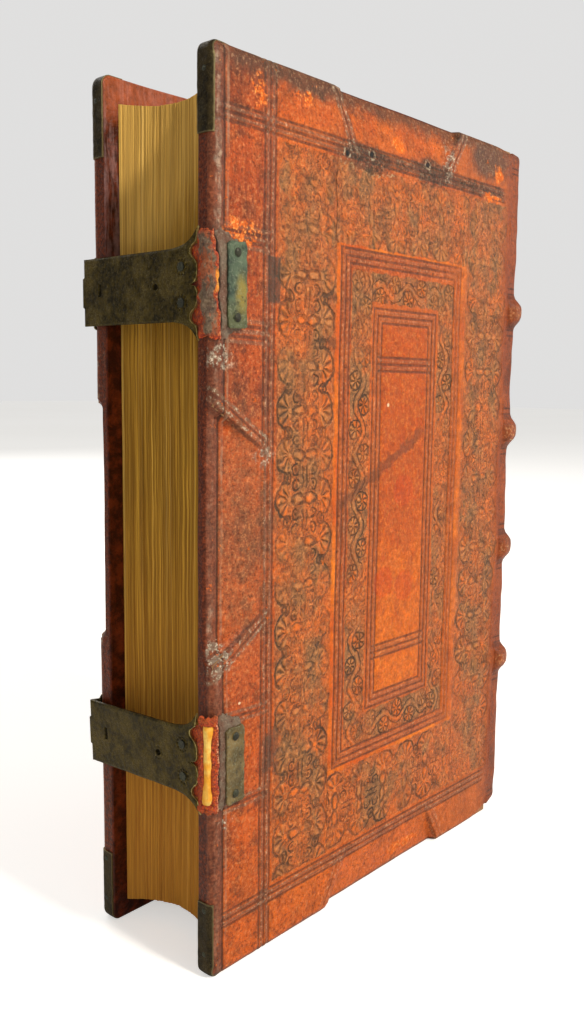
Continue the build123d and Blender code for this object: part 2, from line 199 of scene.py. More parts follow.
def sheet_piece(name, outer, inner, uv=None, material=None, sharp=40.0):
    """A closed sheet between two grids of the same shape, with walls along its four borders."""
    rims = [
        np.stack([outer[0], inner[0]]),
        np.stack([inner[-1], outer[-1]]),
        np.stack([inner[:, 0], outer[:, 0]]),
        np.stack([outer[:, -1], inner[:, -1]]),
    ]
    uvs = None
    if uv is not None:
        uvs = [uv, uv] + [np.stack([rim] * 2) for rim in (uv[0], uv[-1], uv[:, 0], uv[:, -1])]
    flips = [False, True, False, False, False, False]
    return make_piece(name, [outer, inner] + rims, flips, uvs, material, closed=True, sharp=sharp)


def curve_through(points, count):
    """A smooth curve through the given points (Catmull-Rom), sampled evenly along its length."""
    points = np.asarray(points, float)
    ends = np.vstack([2 * points[0] - points[1], points, 2 * points[-1] - points[-2]])
    steps = np.linspace(0, 1, 24, endpoint=False)[:, None]
    spans = []
    for a, b, c, d in zip(ends, ends[1:], ends[2:], ends[3:]):
        spans.append(0.5 * (2 * b + (c - a) * steps + (2 * a - 5 * b + 4 * c - d) * steps**2
                            + (3 * b - a - 3 * c + d) * steps**3))
    dense = np.vstack(spans + [points[-1:]])
    length = np.concatenate([[0], np.cumsum(np.linalg.norm(np.diff(dense, axis=0), axis=1))])
    wanted = np.linspace(0, length[-1], count)
    return np.stack([np.interp(wanted, length, dense[:, axis]) for axis in (0, 1)], -1), wanted


def side_of(path):
    """Unit normals of a plan curve, a quarter turn clockwise from its direction."""
    step = np.gradient(path, axis=0)
    step /= np.linalg.norm(step, axis=1)[:, None]
    return np.stack([step[:, 1], -step[:, 0]], -1)


# ---------------------------------------------------------------- covers and spine


def edge_section():
    """Section of a cover's edge, from the inner face out to the flat: length, plan distance and depth."""
    turn = np.linspace(0, math.pi / 2, 7)
    inner = np.stack([INNER_ROUND * (1 - np.sin(turn)), COVER - INNER_ROUND * (1 - np.cos(turn))], -1)
    turn = np.linspace(0, math.pi / 2, 10)
    outer = np.stack([OUTER_ROUND[0] * (1 - np.cos(turn)), OUTER_ROUND[1] * (1 - np.sin(turn))], -1)
    section = np.vstack([inner, outer, [[CORNER, 0]]])
    length = np.concatenate([[0], np.cumsum(np.linalg.norm(np.diff(section, axis=0), axis=1))])
    return length, section[:, 0], section[:, 1]


EDGE_LENGTH, EDGE_PLAN, EDGE_DEPTH = edge_section()
EDGE_END = EDGE_LENGTH[-1]


def spine_curve():
    """The back of the book from the front joint to its middle: flat, a round shoulder, one wide arc."""
    wide = (SWELL**2 + HALF**2) / (2 * SWELL)
    centre = SHOULDER + SWELL - wide
    reach = wide - SHOULDER_ROUND
    turn_x = centre + math.sqrt(reach**2 - (HALF - SHOULDER_ROUND) ** 2)
    start = math.atan2(-(HALF - SHOULDER_ROUND), turn_x - centre)
    flat = np.stack([np.linspace(JOINT, turn_x, 8)[:-1], np.full(7, -HALF)], -1)
    bend = np.linspace(-math.pi / 2, start, 24)
    shoulder = np.stack([turn_x + SHOULDER_ROUND * np.cos(bend),
                         SHOULDER_ROUND * (1 + np.sin(bend)) - HALF], -1)
    bow = np.linspace(start, 0, 60)[1:]
    back = np.stack([centre + wide * np.cos(bow), wide * np.sin(bow)], -1)
    return np.vstack([flat, shoulder, back])


def lines_at(start, stop, spacing, crowded):
    """Grid lines from start to stop, closer together around each crowded place."""
    lines = list(np.linspace(start, stop, int(round((stop - start) / spacing)) + 1))
    for place in crowded:
        lines += list(place + np.arange(-4.05, 4.06, 0.45))
    lines = np.sort([line for line in lines if start <= line <= stop])
    keep = [lines[0]]
    for line in lines[1:]:
        if line - keep[-1] > 0.24:
            keep.append(line)
    keep[-1] = stop
    return np.array(keep)


def bevel_depth(along, inward, bevel):
    """How far a bevel lies below the cover's face, with slanted stops at both ends."""
    reach = bevel["edge"] - (bevel["edge"] - bevel["inner"]) * np.clip(inward, 0, None) / bevel["width"]
    away = np.abs(along - bevel["middle"]) - reach
    slope = np.clip(1 - inward / bevel["width"], 0, 1)
    return BEVEL_DROP * slope * (1 - smooth(-0.4, 1.7, away))


def bevels(x, z):
    """The three bevels of a cover, by place on its face."""
    depth = bevel_depth(z, x, FORE_BEVEL)
    depth = np.maximum(depth, bevel_depth(x, HEIGHT - z, END_BEVEL))
    return np.maximum(depth, bevel_depth(x, z, END_BEVEL))


def groove(distance, width=0.45, depth=0.28):
    """A pressed line: a round-bottomed groove."""
    return -depth * np.exp(-((distance / width) ** 2))


def triple(distance):
    """Three pressed lines side by side, with two ridges standing between them."""
    away = np.abs(distance)
    return groove(distance, 0.75) + groove(away - 2.7, 0.75) - groove(away - 1.35, 0.5, 0.12)


def frame_distance(x, z, frame_box):
    """How far a place lies outside a rectangle on the cover, minus inside it."""
    x0, x1, z0, z1 = frame_box
    return np.maximum(np.abs(x - (x0 + x1) / 2) - (x1 - x0) / 2, np.abs(z - (z0 + z1) / 2) - (z1 - z0) / 2)


def tooled(x, z):
    """Height of the pressed lines over the cover's face."""
    height = triple(x - LINE_X) + triple(z - LINE_HEAD) + triple(z - LINE_TAIL)
    height = height + groove(x - RIM_LINE, 0.7, 0.35)
    height = height + triple(frame_distance(x, z, FRAME_LINES)) + triple(frame_distance(x, z, PANEL_LINES))
    inside = 1 - smooth(-0.5, 0.5, frame_distance(x, z, PANEL_LINES))
    for level in CROSS_LINES:
        height = height + triple(z - level) * inside

    def strip(outer, inner):
        return (1 - smooth(-1, 1, frame_distance(x, z, outer))) * smooth(-1, 1, frame_distance(x, z, inner))

    wide, narrow = strip(WIDE_OUTER, WIDE_INNER), strip(NARROW_OUTER, NARROW_INNER)
    return height * (1 - smooth(178, 186, x)) - 0.25 * wide - 0.2 * narrow


def band_shape(z):
    """1 over the middle of each raised band, falling away over its sides."""
    return sum(np.exp(-np.abs((z - band) / 5.6) ** 3.6) for band in BANDS)


def skin_points(side):
    """Outer leather of one cover and half the spine, as a grid from the fore-edge to the spine's middle.

    Each grid point has a length in from the fore-edge and from the tail or head. Within the edge the nearer
    of the two leads down the edge's section, and at a corner the section is carried round it like a fan.
    """
    edge = np.sort(np.concatenate([EDGE_LENGTH[:-1], np.linspace(EDGE_LENGTH[6], EDGE_LENGTH[7], 5)[1:-1]]))
    x_lines = lines_at(CORNER, JOINT - 2.5, 1.5, [RIM_LINE, LINE_X, *FRAME_LINES[:2], *PANEL_LINES[:2]])
    hinge = np.linspace(JOINT - 2.2, JOINT + 1.8, 12)
    curve = spine_curve()
    curve_run = np.concatenate([[0], np.cumsum(np.linalg.norm(np.diff(curve, axis=0), axis=1))])
    spine_run = np.concatenate([hinge[hinge > JOINT] - JOINT, np.linspace(2.4, curve_run[-1], 38)])
    z_lines = lines_at(CORNER, HEIGHT - CORNER, 1.7,
                       [LINE_HEAD, LINE_TAIL, *FRAME_LINES[2:], *PANEL_LINES[2:], *CROSS_LINES])

    flat_x = np.concatenate([x_lines, hinge[hinge <= JOINT]])
    spine_x, spine_y = [np.interp(spine_run, curve_run, curve[:, axis]) for axis in (0, 1)]
    base_x = np.concatenate([np.full(len(edge), CORNER), flat_x, spine_x])
    base_y = np.concatenate([np.full(len(edge) + len(flat_x), -HALF), spine_y])
    into_x = np.concatenate([EDGE_END - edge, np.zeros(len(flat_x) + len(spine_run))])
    run = np.concatenate([np.zeros(len(edge) + len(flat_x)), spine_run])
    curve_side = side_of(curve)
    normal_x = np.interp(run, curve_run, curve_side[:, 0]) * (run > 0)
    normal_y = np.where(run > 0, np.interp(run, curve_run, curve_side[:, 1]), -1.0)

    base_z = np.concatenate([np.full(len(edge), CORNER), z_lines, np.full(len(edge), HEIGHT - CORNER)])
    into_z = np.concatenate([EDGE_END - edge, np.zeros(len(z_lines)), (EDGE_END - edge)[::-1]])
    way_z = np.concatenate([np.full(len(edge), -1.0), np.zeros(len(z_lines)), np.full(len(edge), 1.0)])

    a, b = np.meshgrid(into_x, into_z)
    deepest = np.maximum(a, b)
    spread = np.maximum(np.hypot(a, b), 1e-9)
    plan = np.interp(EDGE_END - deepest, EDGE_LENGTH, EDGE_PLAN)
    depth = np.interp(EDGE_END - deepest, EDGE_LENGTH, EDGE_DEPTH)
    outward = (CORNER - plan) * (deepest > 0)
    x = base_x[None, :] - a / spread * outward
    z = base_z[:, None] + way_z[:, None] * b / spread * outward
    face = 1 - depth / COVER
    on_spine = run[None, :] > 0
    thick = np.where(on_spine, COVER + (SPINE_SKIN - COVER) * smooth(0, 1.2, run[None, :]), COVER)

    wander = ripple(3, 60, x, z + 40 * side) * 0.16 + ripple(5, 9, x, z + 11 * side) * 0.05
    rise = wander + np.where(on_spine, 0, tooled(x, z))
    rise = rise + 1.1 * band_shape(z) * smooth(166, 188, x) * (run[None, :] <= 0)
    rise = rise + (1.1 + (BAND_RISE - 1.1) * smooth(-1, 3.5, run[None, :])) * band_shape(z) * on_spine
    rise = rise + 0.18 * ripple(8, 24, run[None, :] + 0 * z, z) * on_spine
    down = depth * thick / COVER + np.where(on_spine, 0, bevels(x, z)) * face
    off = rise * face - down
    px = np.where(on_spine, base_x[None, :], x) + normal_x[None, :] * off
    py = base_y[None, :] + normal_y[None, :] * off
    worn = smooth(176, 206, px)
    z = z + worn * (8.0 * np.clip(1 - z / 46, 0, 1) ** 2 - 2.5 * np.clip((z - HEIGHT + 30) / 30, 0, 1) ** 2)
    px = px + 0.22 * ripple(12, 40, z, py) * np.clip(a / EDGE_END, 0, 1)
    z = z + 0.22 * ripple(13, 46, px + 30 * side, py) * np.clip(b / EDGE_END, 0, 1) * (z > 20)
    return at(px, -side * py, z)


def cap_points(side, at_head):
    """The leather turned in over the head or tail of the spine, from its rim down to the pages."""
    curve = spine_curve()
    run = np.concatenate([[0], np.cumsum(np.linalg.norm(np.diff(curve, axis=0), axis=1))])
    lines = np.linspace(1.2, run[-1], 40)
    normal = side_of(curve)
    x = np.interp(lines, run, curve[:, 0]) - SPINE_SKIN * np.interp(lines, run, normal[:, 0])
    y = np.interp(lines, run, curve[:, 1]) - SPINE_SKIN * np.interp(lines, run, normal[:, 1])
    down = np.linspace(0.6, 8.6, 8)[:, None]
    worn = smooth(176, 206, x)
    if at_head:
        z = HEIGHT - down - 2.5 * worn * np.clip(1 - down / 30, 0, 1) ** 2
    else:
        z = down + 8.0 * worn * np.clip(1 - down / 46, 0, 1) ** 2
    return at(x[None, :] + 0 * z, -side * y[None, :] + 0 * z, z)


def turn_in_points(side):
    """The leather turned over the fore-edge, head and tail on to a cover's inner face, with a low step."""
    corner = TURN_IN
    outer_reach = INNER_ROUND
    end = JOINT - 0.8
    along_tail = np.linspace(1, 0, 60)
    along_fore = np.linspace(0, 1, 80)
    round_corner = CORNER - INNER_ROUND
    bend = np.linspace(0, math.pi / 2, 7)[1:-1]
    outer = [np.stack([outer_reach + round_corner + (end - outer_reach - round_corner) * along_tail,
                       np.full(60, outer_reach)], -1)]
    centre = outer_reach + round_corner
    outer.append(np.stack([centre - round_corner * np.sin(bend), centre - round_corner * np.cos(bend)], -1))
    fore_run = centre + (HEIGHT - 2 * centre) * along_fore
    outer.append(np.stack([np.full(80, outer_reach), fore_run], -1))
    outer.append(np.stack([centre - round_corner * np.cos(bend),
                           HEIGHT - centre + round_corner * np.sin(bend)], -1))
    outer.append(np.stack([outer[0][::-1, 0], np.full(60, HEIGHT - outer_reach)], -1))
    outer = np.vstack(outer)
    inner = [np.stack([corner + (end - corner) * along_tail, np.full(60, corner)], -1)]
    inner.append(np.full((5, 2), corner))
    inner.append(np.stack([np.full(80, corner), corner + (HEIGHT - 2 * corner) * along_fore], -1))
    inner.append(np.stack([np.full(5, corner), np.full(5, HEIGHT - corner)], -1))
    inner.append(np.stack([inner[0][::-1, 0], np.full(60, HEIGHT - corner)], -1))
    inner = np.vstack(inner)
    inner = inner + 0.5 * np.stack([ripple(21, 17, *inner.T), ripple(22, 19, *inner.T)], -1)
    inner[:, 0] = np.minimum(inner[:, 0], end)
    part = np.linspace(0, 1, 9)[:, None, None]
    plan = outer * (1 - part) + inner * part
    drop = np.zeros(9)
    plan = np.concatenate([plan, plan[-1:], plan[-1:]])
    drop = np.concatenate([drop, [0.45, 0.9]])[:, None]
    depth = COVER - drop + 0.05 * ripple(23, 12, plan[..., 0], plan[..., 1])
    depth[0] = COVER
    return at(plan[..., 0], side * (HALF - depth), plan[..., 1])


def cover_skin(name, side, leather):
    """The leather of one cover and half the spine, with its turn-ins."""
    outside = skin_points(side)
    inside = turn_in_points(side)
    caps = [cap_points(side, False), cap_points(side, True)]
    turned = side > 0
    flips = [turned, turned, turned, not turned]
    return make_piece(name, [outside, inside] + caps, flips, material=leather, sharp=50.0)


def corner_guard(name, side, at_head, metal):
    """A thin metal strip round a fore-edge corner: a plan path carried through the cover's thickness."""
    strip_long, strip_short, lift = 28.5, 9.0, 0.45
    bend = np.linspace(0, math.pi / 2, 9)
    path = [np.stack([np.zeros(40), np.linspace(strip_long, CORNER, 41)[:-1]], -1)]
    path.append(np.stack([CORNER - CORNER * np.cos(bend), CORNER - CORNER * np.sin(bend)], -1))
    path.append(np.stack([np.linspace(CORNER, strip_short, 10)[1:], np.zeros(9)], -1))
    path = np.vstack(path)
    normal = side_of(path)
    if normal[0, 0] > 0:
        normal = -normal
    place = np.arange(len(path))
    first = np.interp(place, [0, 38, 49, len(path)], [0.55, 0.55, 1.6, 2.5])[:, None]
    through = first + (COVER - 0.5 - first) * np.linspace(0, 1, 22)[None, :]
    rounded = 0.9 * np.interp(through, EDGE_DEPTH[::-1], EDGE_PLAN[::-1])
    dents = 0.09 * ripple(31 + int(at_head), 5, path[:, 0, None] + path[:, 1, None], through)
    level = np.interp(place, [0, 38, 49, len(path)], [lift, lift, 0.14, 0.1])[:, None]
    layers = []
    for height in (level - rounded + dents * level, -0.15 - rounded):
        x = path[:, 0, None] + normal[:, 0, None] * height
        z = path[:, 1, None] + normal[:, 1, None] * height
        z = HEIGHT - z if at_head else z
        layers.append(at(x, side * (HALF - through), z))
    return sheet_piece(name, layers[0], layers[1], material=metal)


# ---------------------------------------------------------------- pages and endbands


def page_block(paper):
    """All the leaves: a hollow fore-edge of many thin edges, leaf lines over head and tail, a round back.

    Every leaf keeps one line from the fore-edge over the head and tail to the back, where the leaves fan
    out to the shoulders. Gatherings of leaves stand a little proud of their neighbours or behind them.
    """
    half = -page_low.y / MM
    inner_half = HALF - COVER - 0.3
    columns = 260
    leaf = np.linspace(-1, 1, columns)
    rng = np.random.default_rng(41)
    gathering = np.cumsum(rng.random(columns) < 0.11)
    proud = rng.normal(0, 0.13, gathering[-1] + 1)[gathering] + rng.normal(0, 0.09, columns)
    proud[[0, -1]] = 0
    fore = (page_low.x - FORE_X) / MM + 10.5 * (1 - leaf**2)
    swell_tail = np.interp(leaf, [-1, 0.2, 1], [-1.9, -0.9, -1.4])
    swell_head = np.interp(leaf, [-1, -0.7, 0, 0.5, 1], [1.7, 0.6, -1.2, -1.7, -0.8])
    curve = spine_curve()
    full_y = np.concatenate([curve[:, 1], -curve[::-1][1:, 1]])
    full_x = np.concatenate([curve[:, 0], curve[::-1][1:, 0]]) - 1.4
    back_y = leaf * (half - 0.2)
    back = np.interp(back_y, full_y, full_x)
    back = np.minimum(back, np.interp(back_y * 1.03, full_y, full_x))

    def flare(x):
        """Leaves spread out towards the shoulders, past the joint."""
        return inner_half + (half - 0.2 - inner_half) * smooth(JOINT + 0.4, JOINT + 3.4, x)

    up = np.linspace(0, 1, 70)[:, None]
    rows = PAGE_TAIL + swell_tail + (PAGE_HEAD + swell_head - PAGE_TAIL - swell_tail) * up
    lean = 0.5 * ripple(43, 160, rows, leaf * 20) + 0.12 * ripple(44, 22, rows, leaf * 60)
    fore_x = fore + proud + lean * (1 - np.abs(leaf) ** 8)
    fore_y = leaf * inner_half + 0.12 * ripple(45, 70, rows, leaf * 14) * (1 - leaf**2)
    fore_edge = at(fore_x, fore_y, rows + 0 * leaf)
    part = np.concatenate([np.linspace(0, 0.92, 26), np.linspace(0.935, 1, 12)])[:, None]
    step = rng.normal(0, 0.1, gathering[-1] + 1)[gathering] + rng.normal(0, 0.035, columns)
    ends = []
    for level, way, row, swell in ((PAGE_TAIL, -1, 0, swell_tail), (PAGE_HEAD, 1, -1, swell_head)):
        x = fore_x[row] + (back - fore_x[row]) * part
        y = leaf * flare(x)
        y[0] = fore_y[row]
        z = level + way * (step - 0.25) * smooth(0, 0.02, part) * smooth(0, 0.02, 1 - part)
        z = z + swell * (1 - smooth(0.0, 0.75, part))
        ends.append(at(x, y, z + 0 * x))
    sides = []
    for column in (0, -1):
        tail_line, head_line = ends[0][:, column], ends[1][:, column]
        up = np.linspace(0, 1, 70)[:, None, None]
        sides.append(tail_line[None] * (1 - up) + head_line[None] * up)
    back_wall = np.stack([ends[0][-1], ends[1][-1]])
    grids = [fore_edge, ends[0], ends[1], sides[0], sides[1], back_wall]
    return make_piece("page_block", grids, material=paper, closed=True, sharp=60.0)


def endband_roll(name, at_head, thread):
    """A sewn endband: a fat core along the back's curve, wound with thread in close turns."""
    low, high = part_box(name)
    curve = spine_curve()
    curve = np.vstack([curve, curve[::-1][1:] * [1, -1]])
    inset = SPINE_SKIN + 0.25 + 1.9
    path = curve - side_of(curve) * inset
    path = path[np.abs(path[:, 1]) < high.y / MM - 0.4]
    path, run = curve_through(path[::3], 420)
    normal = side_of(path)
    turn = np.linspace(0, 2 * math.pi, 21)
    windings = 0.16 * np.abs(np.sin(math.pi * run / 1.15))[:, None]
    centre_z = (low.z + high.z) / 2 / MM
    reach = 1.75 + windings
    x = path[:, 0, None] + normal[:, 0, None] * reach * np.cos(turn)
    y = path[:, 1, None] + normal[:, 1, None] * reach * np.cos(turn)
    z = centre_z + (reach + 0.35) * np.sin(turn)
    caps = []
    for end in (0, -1):
        ring = np.stack([x[end], y[end], z[end]], -1)
        middle = ring[:-1].mean(0)
        caps.append(np.stack([ring, ring * 0 + middle]))
    grids = [at(x, y, z)] + [at(*np.moveaxis(cap, -1, 0)) for cap in caps]
    uv = np.stack(np.broadcast_arrays(run[:, None] * 0.1, turn[None, :]), -1)
    uvs = [uv, np.stack([uv[0]] * 2), np.stack([uv[-1]] * 2)]
    return make_piece(name + "_thread", grids, uvs=uvs, material=thread, closed=True)


# ---------------------------------------------------------------- clasps and straps


def clasp_start(height):
    """Where the plate begins at each height from its middle: horn, scallop, lobe and slit."""
    h = np.abs(height)
    places = [0, 0.3, 0.7, 1.6, 3.0, 4.6, 6.2, 7.6, 8.6, 9.6, 10.6, 11.6, 12.6, 13.5, 15.0, 16.8, 18.3]
    starts = [4.2, 2.8, 1.2, 0.5, 0.1, 0.0, 0.25, 1.1, 2.4, 3.3, 3.5, 3.3, 2.1, 0.6, 0.25, 0.05, -0.15]
    return -28.0 + np.interp(h, places, starts)


def clasp_reach(y):
    """Half the plate's height along its length: horns at the strap, then straight to the hook."""
    run = y + 28.2
    flare = 6.4 * np.exp(-run / 3.6) * (1 - smooth(10, 14, run))
    return 11.9 + flare


RIVET_MARKS = ((-20.6, 5.8), (-20.6, -5.8))


def ring_mark(y, h, centre_y, centre_h):
    """A punched ring of small dots round a rivet."""
    away = np.hypot(y - centre_y, h - centre_h)
    turn = np.arctan2(h - centre_h, y - centre_y)
    return 0.30 * np.exp(-(((away - 2.5) / 0.34) ** 2)) * (0.55 + 0.45 * np.cos(11 * turn))


def clasp_plate(name, middle, tilt, marks, brass):
    """The hooked plate: a sheet along the clasp's length, scalloped at the strap and bent in at the end."""
    low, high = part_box(name)
    outer_x = -3.5
    thick = 1.1
    end_y = high.y / MM
    bend_radius = 1.0
    rows = np.concatenate([np.linspace(-1, -0.56, 46), np.linspace(-0.55, 0.55, 90),
                           np.linspace(0.56, 1, 46)])
    share = np.concatenate([np.linspace(0, 0.25, 60), np.linspace(0.26, 1, 120)])
    straight_end = end_y - bend_radius
    tip_height = 18.3
    first_h = rows * tip_height
    start = clasp_start(first_h)
    y = start[:, None] + (straight_end - start[:, None]) * share[None, :]
    h = rows[:, None] * clasp_reach(y)
    blend = smooth(0, 0.12, share)[None, :]
    h = first_h[:, None] * (1 - blend) + h * blend
    h = np.where(np.abs(h) > clasp_reach(y), np.sign(h) * clasp_reach(y), h)
    dip = np.zeros_like(y)
    for mark_y, mark_h in marks:
        dip = dip + ring_mark(y, h, mark_y, mark_h)
    hole = np.hypot(y + 7.4, h)
    dip = dip + 0.8 * (1 - smooth(0.9, 1.2, hole)) + 0.12 * np.exp(-((hole - 2.2) / 0.25) ** 2)
    slot = np.maximum(np.abs(y - 23.2) / 0.75, np.abs(h - 0.6) / 2.2)
    dip = dip + 0.8 * (1 - smooth(0.85, 1.1, slot))
    shorter = 0.9 * smooth(0.42, 0.47, np.abs(rows))[:, None]
    y = y - shorter * smooth(20, 33, y)
    hollow = np.clip(dip * 3.0, 0, 1)
    border = np.maximum(smooth(0.955, 1.0, np.abs(rows))[:, None] * smooth(8, 3, y + 28) + 0 * y,
                        smooth(0.012, 0, share)[None, :] + 0 * y)
    turn = np.linspace(0, math.pi / 2, 8)[1:]
    hook_x = np.concatenate([bend_radius * (1 - np.cos(turn)), bend_radius + np.linspace(0, 6.8, 24)[1:]])
    hook_y = np.concatenate([straight_end + bend_radius * np.sin(turn), np.full(23, end_y)])
    normal_x = np.concatenate([-np.cos(turn), np.zeros(23)])
    normal_y = np.concatenate([np.sin(turn), np.ones(23)])
    hook_h = rows[:, None] * 11.9 * np.concatenate([np.ones(7), np.linspace(1, 0.93, 23)])[None, :]
    dip = dip + 0.2 * smooth(0.93, 1.0, np.abs(rows))[:, None] + 0.25 * smooth(0.02, 0, share)[None, :]
    dip = dip + 0.05 * ripple(51, 11, y, h) + 0.02 * ripple(52, 2.5, y, h)
    ones = np.ones((len(rows), 1))
    full_outer = np.stack([np.hstack([outer_x + dip, outer_x + hook_x * ones]),
                           np.hstack([y, hook_y * ones - shorter]), np.hstack([h, hook_h])])
    full_inner = np.stack([np.hstack([outer_x + thick + 0 * y, outer_x + (hook_x - normal_x * thick) * ones]),
                           np.hstack([y, (hook_y - normal_y * thick) * ones - shorter]),
                           np.hstack([h, hook_h])])
    marks_uv = np.stack([np.hstack([hollow, 0 * hook_h]), np.hstack([border, 0 * hook_h])], -1)
    full_inner[0][:, -23:] = full_outer[0][:, -23:]
    layers = []
    for x, along, height in (full_outer, full_inner):
        drop = (along + 28.0) * math.sin(tilt)
        layers.append(at(x, along + height * math.sin(tilt), middle + height * math.cos(tilt) - drop))
    return sheet_piece(name + "_brass", layers[0], layers[1], uv=marks_uv, material=brass, sharp=35.0)


def strap_piece(name, middle, half, path_points, seed, leather, split=False):
    """A leather strap: a plan path over the cover's corner, as thick as the strap, with torn edges.

    Under the clasp it narrows to stay behind the plate, and past the crack only a tongue under the anchor
    plate is left, whose rims sink into the cover.
    """
    path, run = curve_through(path_points, 110)
    normal = side_of(path)
    if normal[0, 1] > 0:
        normal = -normal
    rows = np.linspace(-1, 1, 130)[:, None]
    torn = 0.5 * ripple(seed, 3.5, run, 3 * rows) + 0.3 * ripple(seed + 1, 1.3, run, 5 * rows)
    y = path[:, 1]
    under = smooth(-28.6, -26.6, y)
    behind = np.minimum(clasp_reach(np.maximum(y, -28.2)) - 1.6, 13.0)
    reach = half + (np.minimum(behind, half) - half) * under - 2.6 * smooth(7.5, 4.0, run)
    height = rows * (reach + torn * np.abs(rows) ** 6 * (1 - under))
    crack_run = crack_line(height, split) + 0.22 * ripple(seed + 4, 6, height)
    lumps = 0.34 * ripple(seed + 2, 4.5, run + 0 * height, height)
    lumps = lumps + 0.15 * ripple(seed + 3, 1.5, run + 0 * height, height)
    crack = 1.1 * np.exp(-(((run - crack_run) / 0.4) ** 2))
    past = smooth(0.6, -0.6, run - crack_run)
    rise = lumps * smooth(0, 2, run)[None, :] * (1 - 0.6 * past) * (1 - under) - crack
    rise = rise - past * (0.35 + 1.1 * smooth(0.7, 1.0, np.abs(rows)))
    if split:
        window = window_shape(run, height)
        rise = rise * (1 - 0.6 * window) - 0.8 * window
        rise = rise + 0.5 * (smooth(14.4, 15.2, -height) - smooth(16.2, 17.0, -height)) * smooth(13, 14, run)
    else:
        rise = rise + 0.7 * np.exp(-(((run - TUBE_RUN) / 2.8) ** 2)) * (1 - smooth(14, 17, np.abs(height)))
    rise = rise - 0.35 * under
    edge = 0.5 * smooth(0.93, 1, np.abs(rows))
    outer_xy = path[None] + normal[None] * (rise - edge)[..., None]
    inner_xy = path[None] - normal[None] * (1.5 + 0 * rise)[..., None]
    z = middle + height
    across = run[None, :] - crack_run
    uv = np.stack(np.broadcast_arrays((across + 15) * 0.02, (height + 20) * 0.02), -1)
    outer = at(outer_xy[..., 0], outer_xy[..., 1], z)
    inner = at(inner_xy[..., 0], inner_xy[..., 1], z)
    return sheet_piece(name, outer, inner, uv=uv, material=leather, sharp=60.0)


TUBE_RUN = 15.8
WINDOW_RUN = 16.4


def crack_line(height, split):
    """Where the strap has cracked from the cover's leather, along its run, at each height."""
    if split:
        return 11.2 + 0.01 * height
    heights = [-17, -14, -8, -4, 0, 5, 9, 15, 18]
    runs = [10.2, 10.4, 11.3, 12.0, 11.6, 11.3, 12.2, 13.1, 13.5]
    return np.interp(height, heights, runs)


def window_wide(height):
    """Half the width of the split in the lower strap: a long slot, narrower at its middle."""
    return 1.7 + 0.75 * (np.abs(height) / 14.5) ** 2 + 0.16 * np.sin(height / 1.9 + 1)


def window_shape(run, height):
    """Where the lower strap is split open over its pale core."""
    centre = WINDOW_RUN - 0.012 * height + 0.15 * np.sin(height / 3.1)
    across = np.abs(run - centre) / window_wide(height)
    return (1 - smooth(0.85, 1.12, across)) * (1 - smooth(14.0, 14.6, np.abs(height)))


def strap_core(name, middle, path_points, lining):
    """The pale core in the split: a soft strip, crowned across and wavy along."""
    path, run = curve_through(path_points, 400)
    normal = side_of(path)
    if normal[0, 1] > 0:
        normal = -normal
    rows = np.linspace(-14.2, 14.2, 90)[:, None]
    across = np.linspace(-1, 1, 17)[None, :]
    centre = WINDOW_RUN - 0.012 * rows + 0.15 * np.sin(rows / 3.1)
    wide = window_wide(rows)
    place = centre + wide * across
    rise = -0.66 + 0.5 * (1 - across**2) + 0.08 * ripple(66, 5, rows + 0 * across, 3 * across)
    rise = rise - 0.25 * smooth(13.2, 14.2, np.abs(rows))
    layers = []
    for level in (rise, rise * 0 - 0.95):
        xs = np.interp(place, run, path[:, 0]) + np.interp(place, run, normal[:, 0]) * level
        ys = np.interp(place, run, path[:, 1]) + np.interp(place, run, normal[:, 1]) * level
        layers.append(at(xs, ys, middle + rows + 0 * xs))
    return sheet_piece(name, layers[0], layers[1], material=lining)


def flat_plate(name, node, seed, metal, dents=()):
    """A thin plate on a cover: softly rounded edges, worn corners, and a dent round each nail."""
    low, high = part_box(node)
    x0, x1 = (low.x - FORE_X) / MM, (high.x - FORE_X) / MM
    z0, z1 = low.z / MM, high.z / MM
    across = np.concatenate([np.linspace(0, 0.12, 6), np.linspace(0.15, 0.85, 20), np.linspace(0.88, 1, 6)])
    along = np.concatenate([np.linspace(0, 0.05, 6), np.linspace(0.07, 0.93, 60), np.linspace(0.95, 1, 6)])
    u, v = np.meshgrid(across, along)
    edge = np.minimum(np.minimum(u, 1 - u) * (x1 - x0), np.minimum(v, 1 - v) * (z1 - z0))
    chip = 0.18 * ripple(seed, 3.5, u * (x1 - x0), v * (z1 - z0)) * (1 - smooth(0, 0.8, edge))
    x = x0 + u * (x1 - x0) + chip * np.sign(u - 0.5)
    z = z0 + v * (z1 - z0) + chip * np.sign(v - 0.5)
    corner = np.hypot(np.minimum(u, 1 - u) * (x1 - x0), np.minimum(v, 1 - v) * (z1 - z0))
    pull = 0.3 * (1 - smooth(0, 1.2, corner))
    x = x - pull * np.sign(u - 0.5)
    z = z - pull * np.sign(v - 0.5)
    sink = 0.22 * (1 - smooth(0, 0.5, edge))
    sink = sink + 0.05 * ripple(seed + 1, 7, x, z) + 0.02 * ripple(seed + 2, 2, x, z)
    for dent_x, dent_z in dents:
        sink = sink + 0.3 * np.exp(-((np.hypot(x - dent_x, z - dent_z) - 1.7) / 0.7) ** 2)
    front = low.y < 0
    outer_y = low.y / MM + sink if front else high.y / MM - sink
    inner_y = high.y / MM + 0 * sink if front else low.y / MM + 0 * sink
    return sheet_piece(name, at(x, outer_y, z), at(x, inner_y, z), material=metal)


# ---------------------------------------------------------------- shader building


def paint(red, green, blue):
    """A colour as the eye reads it, 0 to 255, for a shader."""
    parts = [value / 255 for value in (red, green, blue)]
    return tuple(v / 12.92 if v < 0.04045 else ((v + 0.055) / 1.055) ** 2.4 for v in parts) + (1.0,)


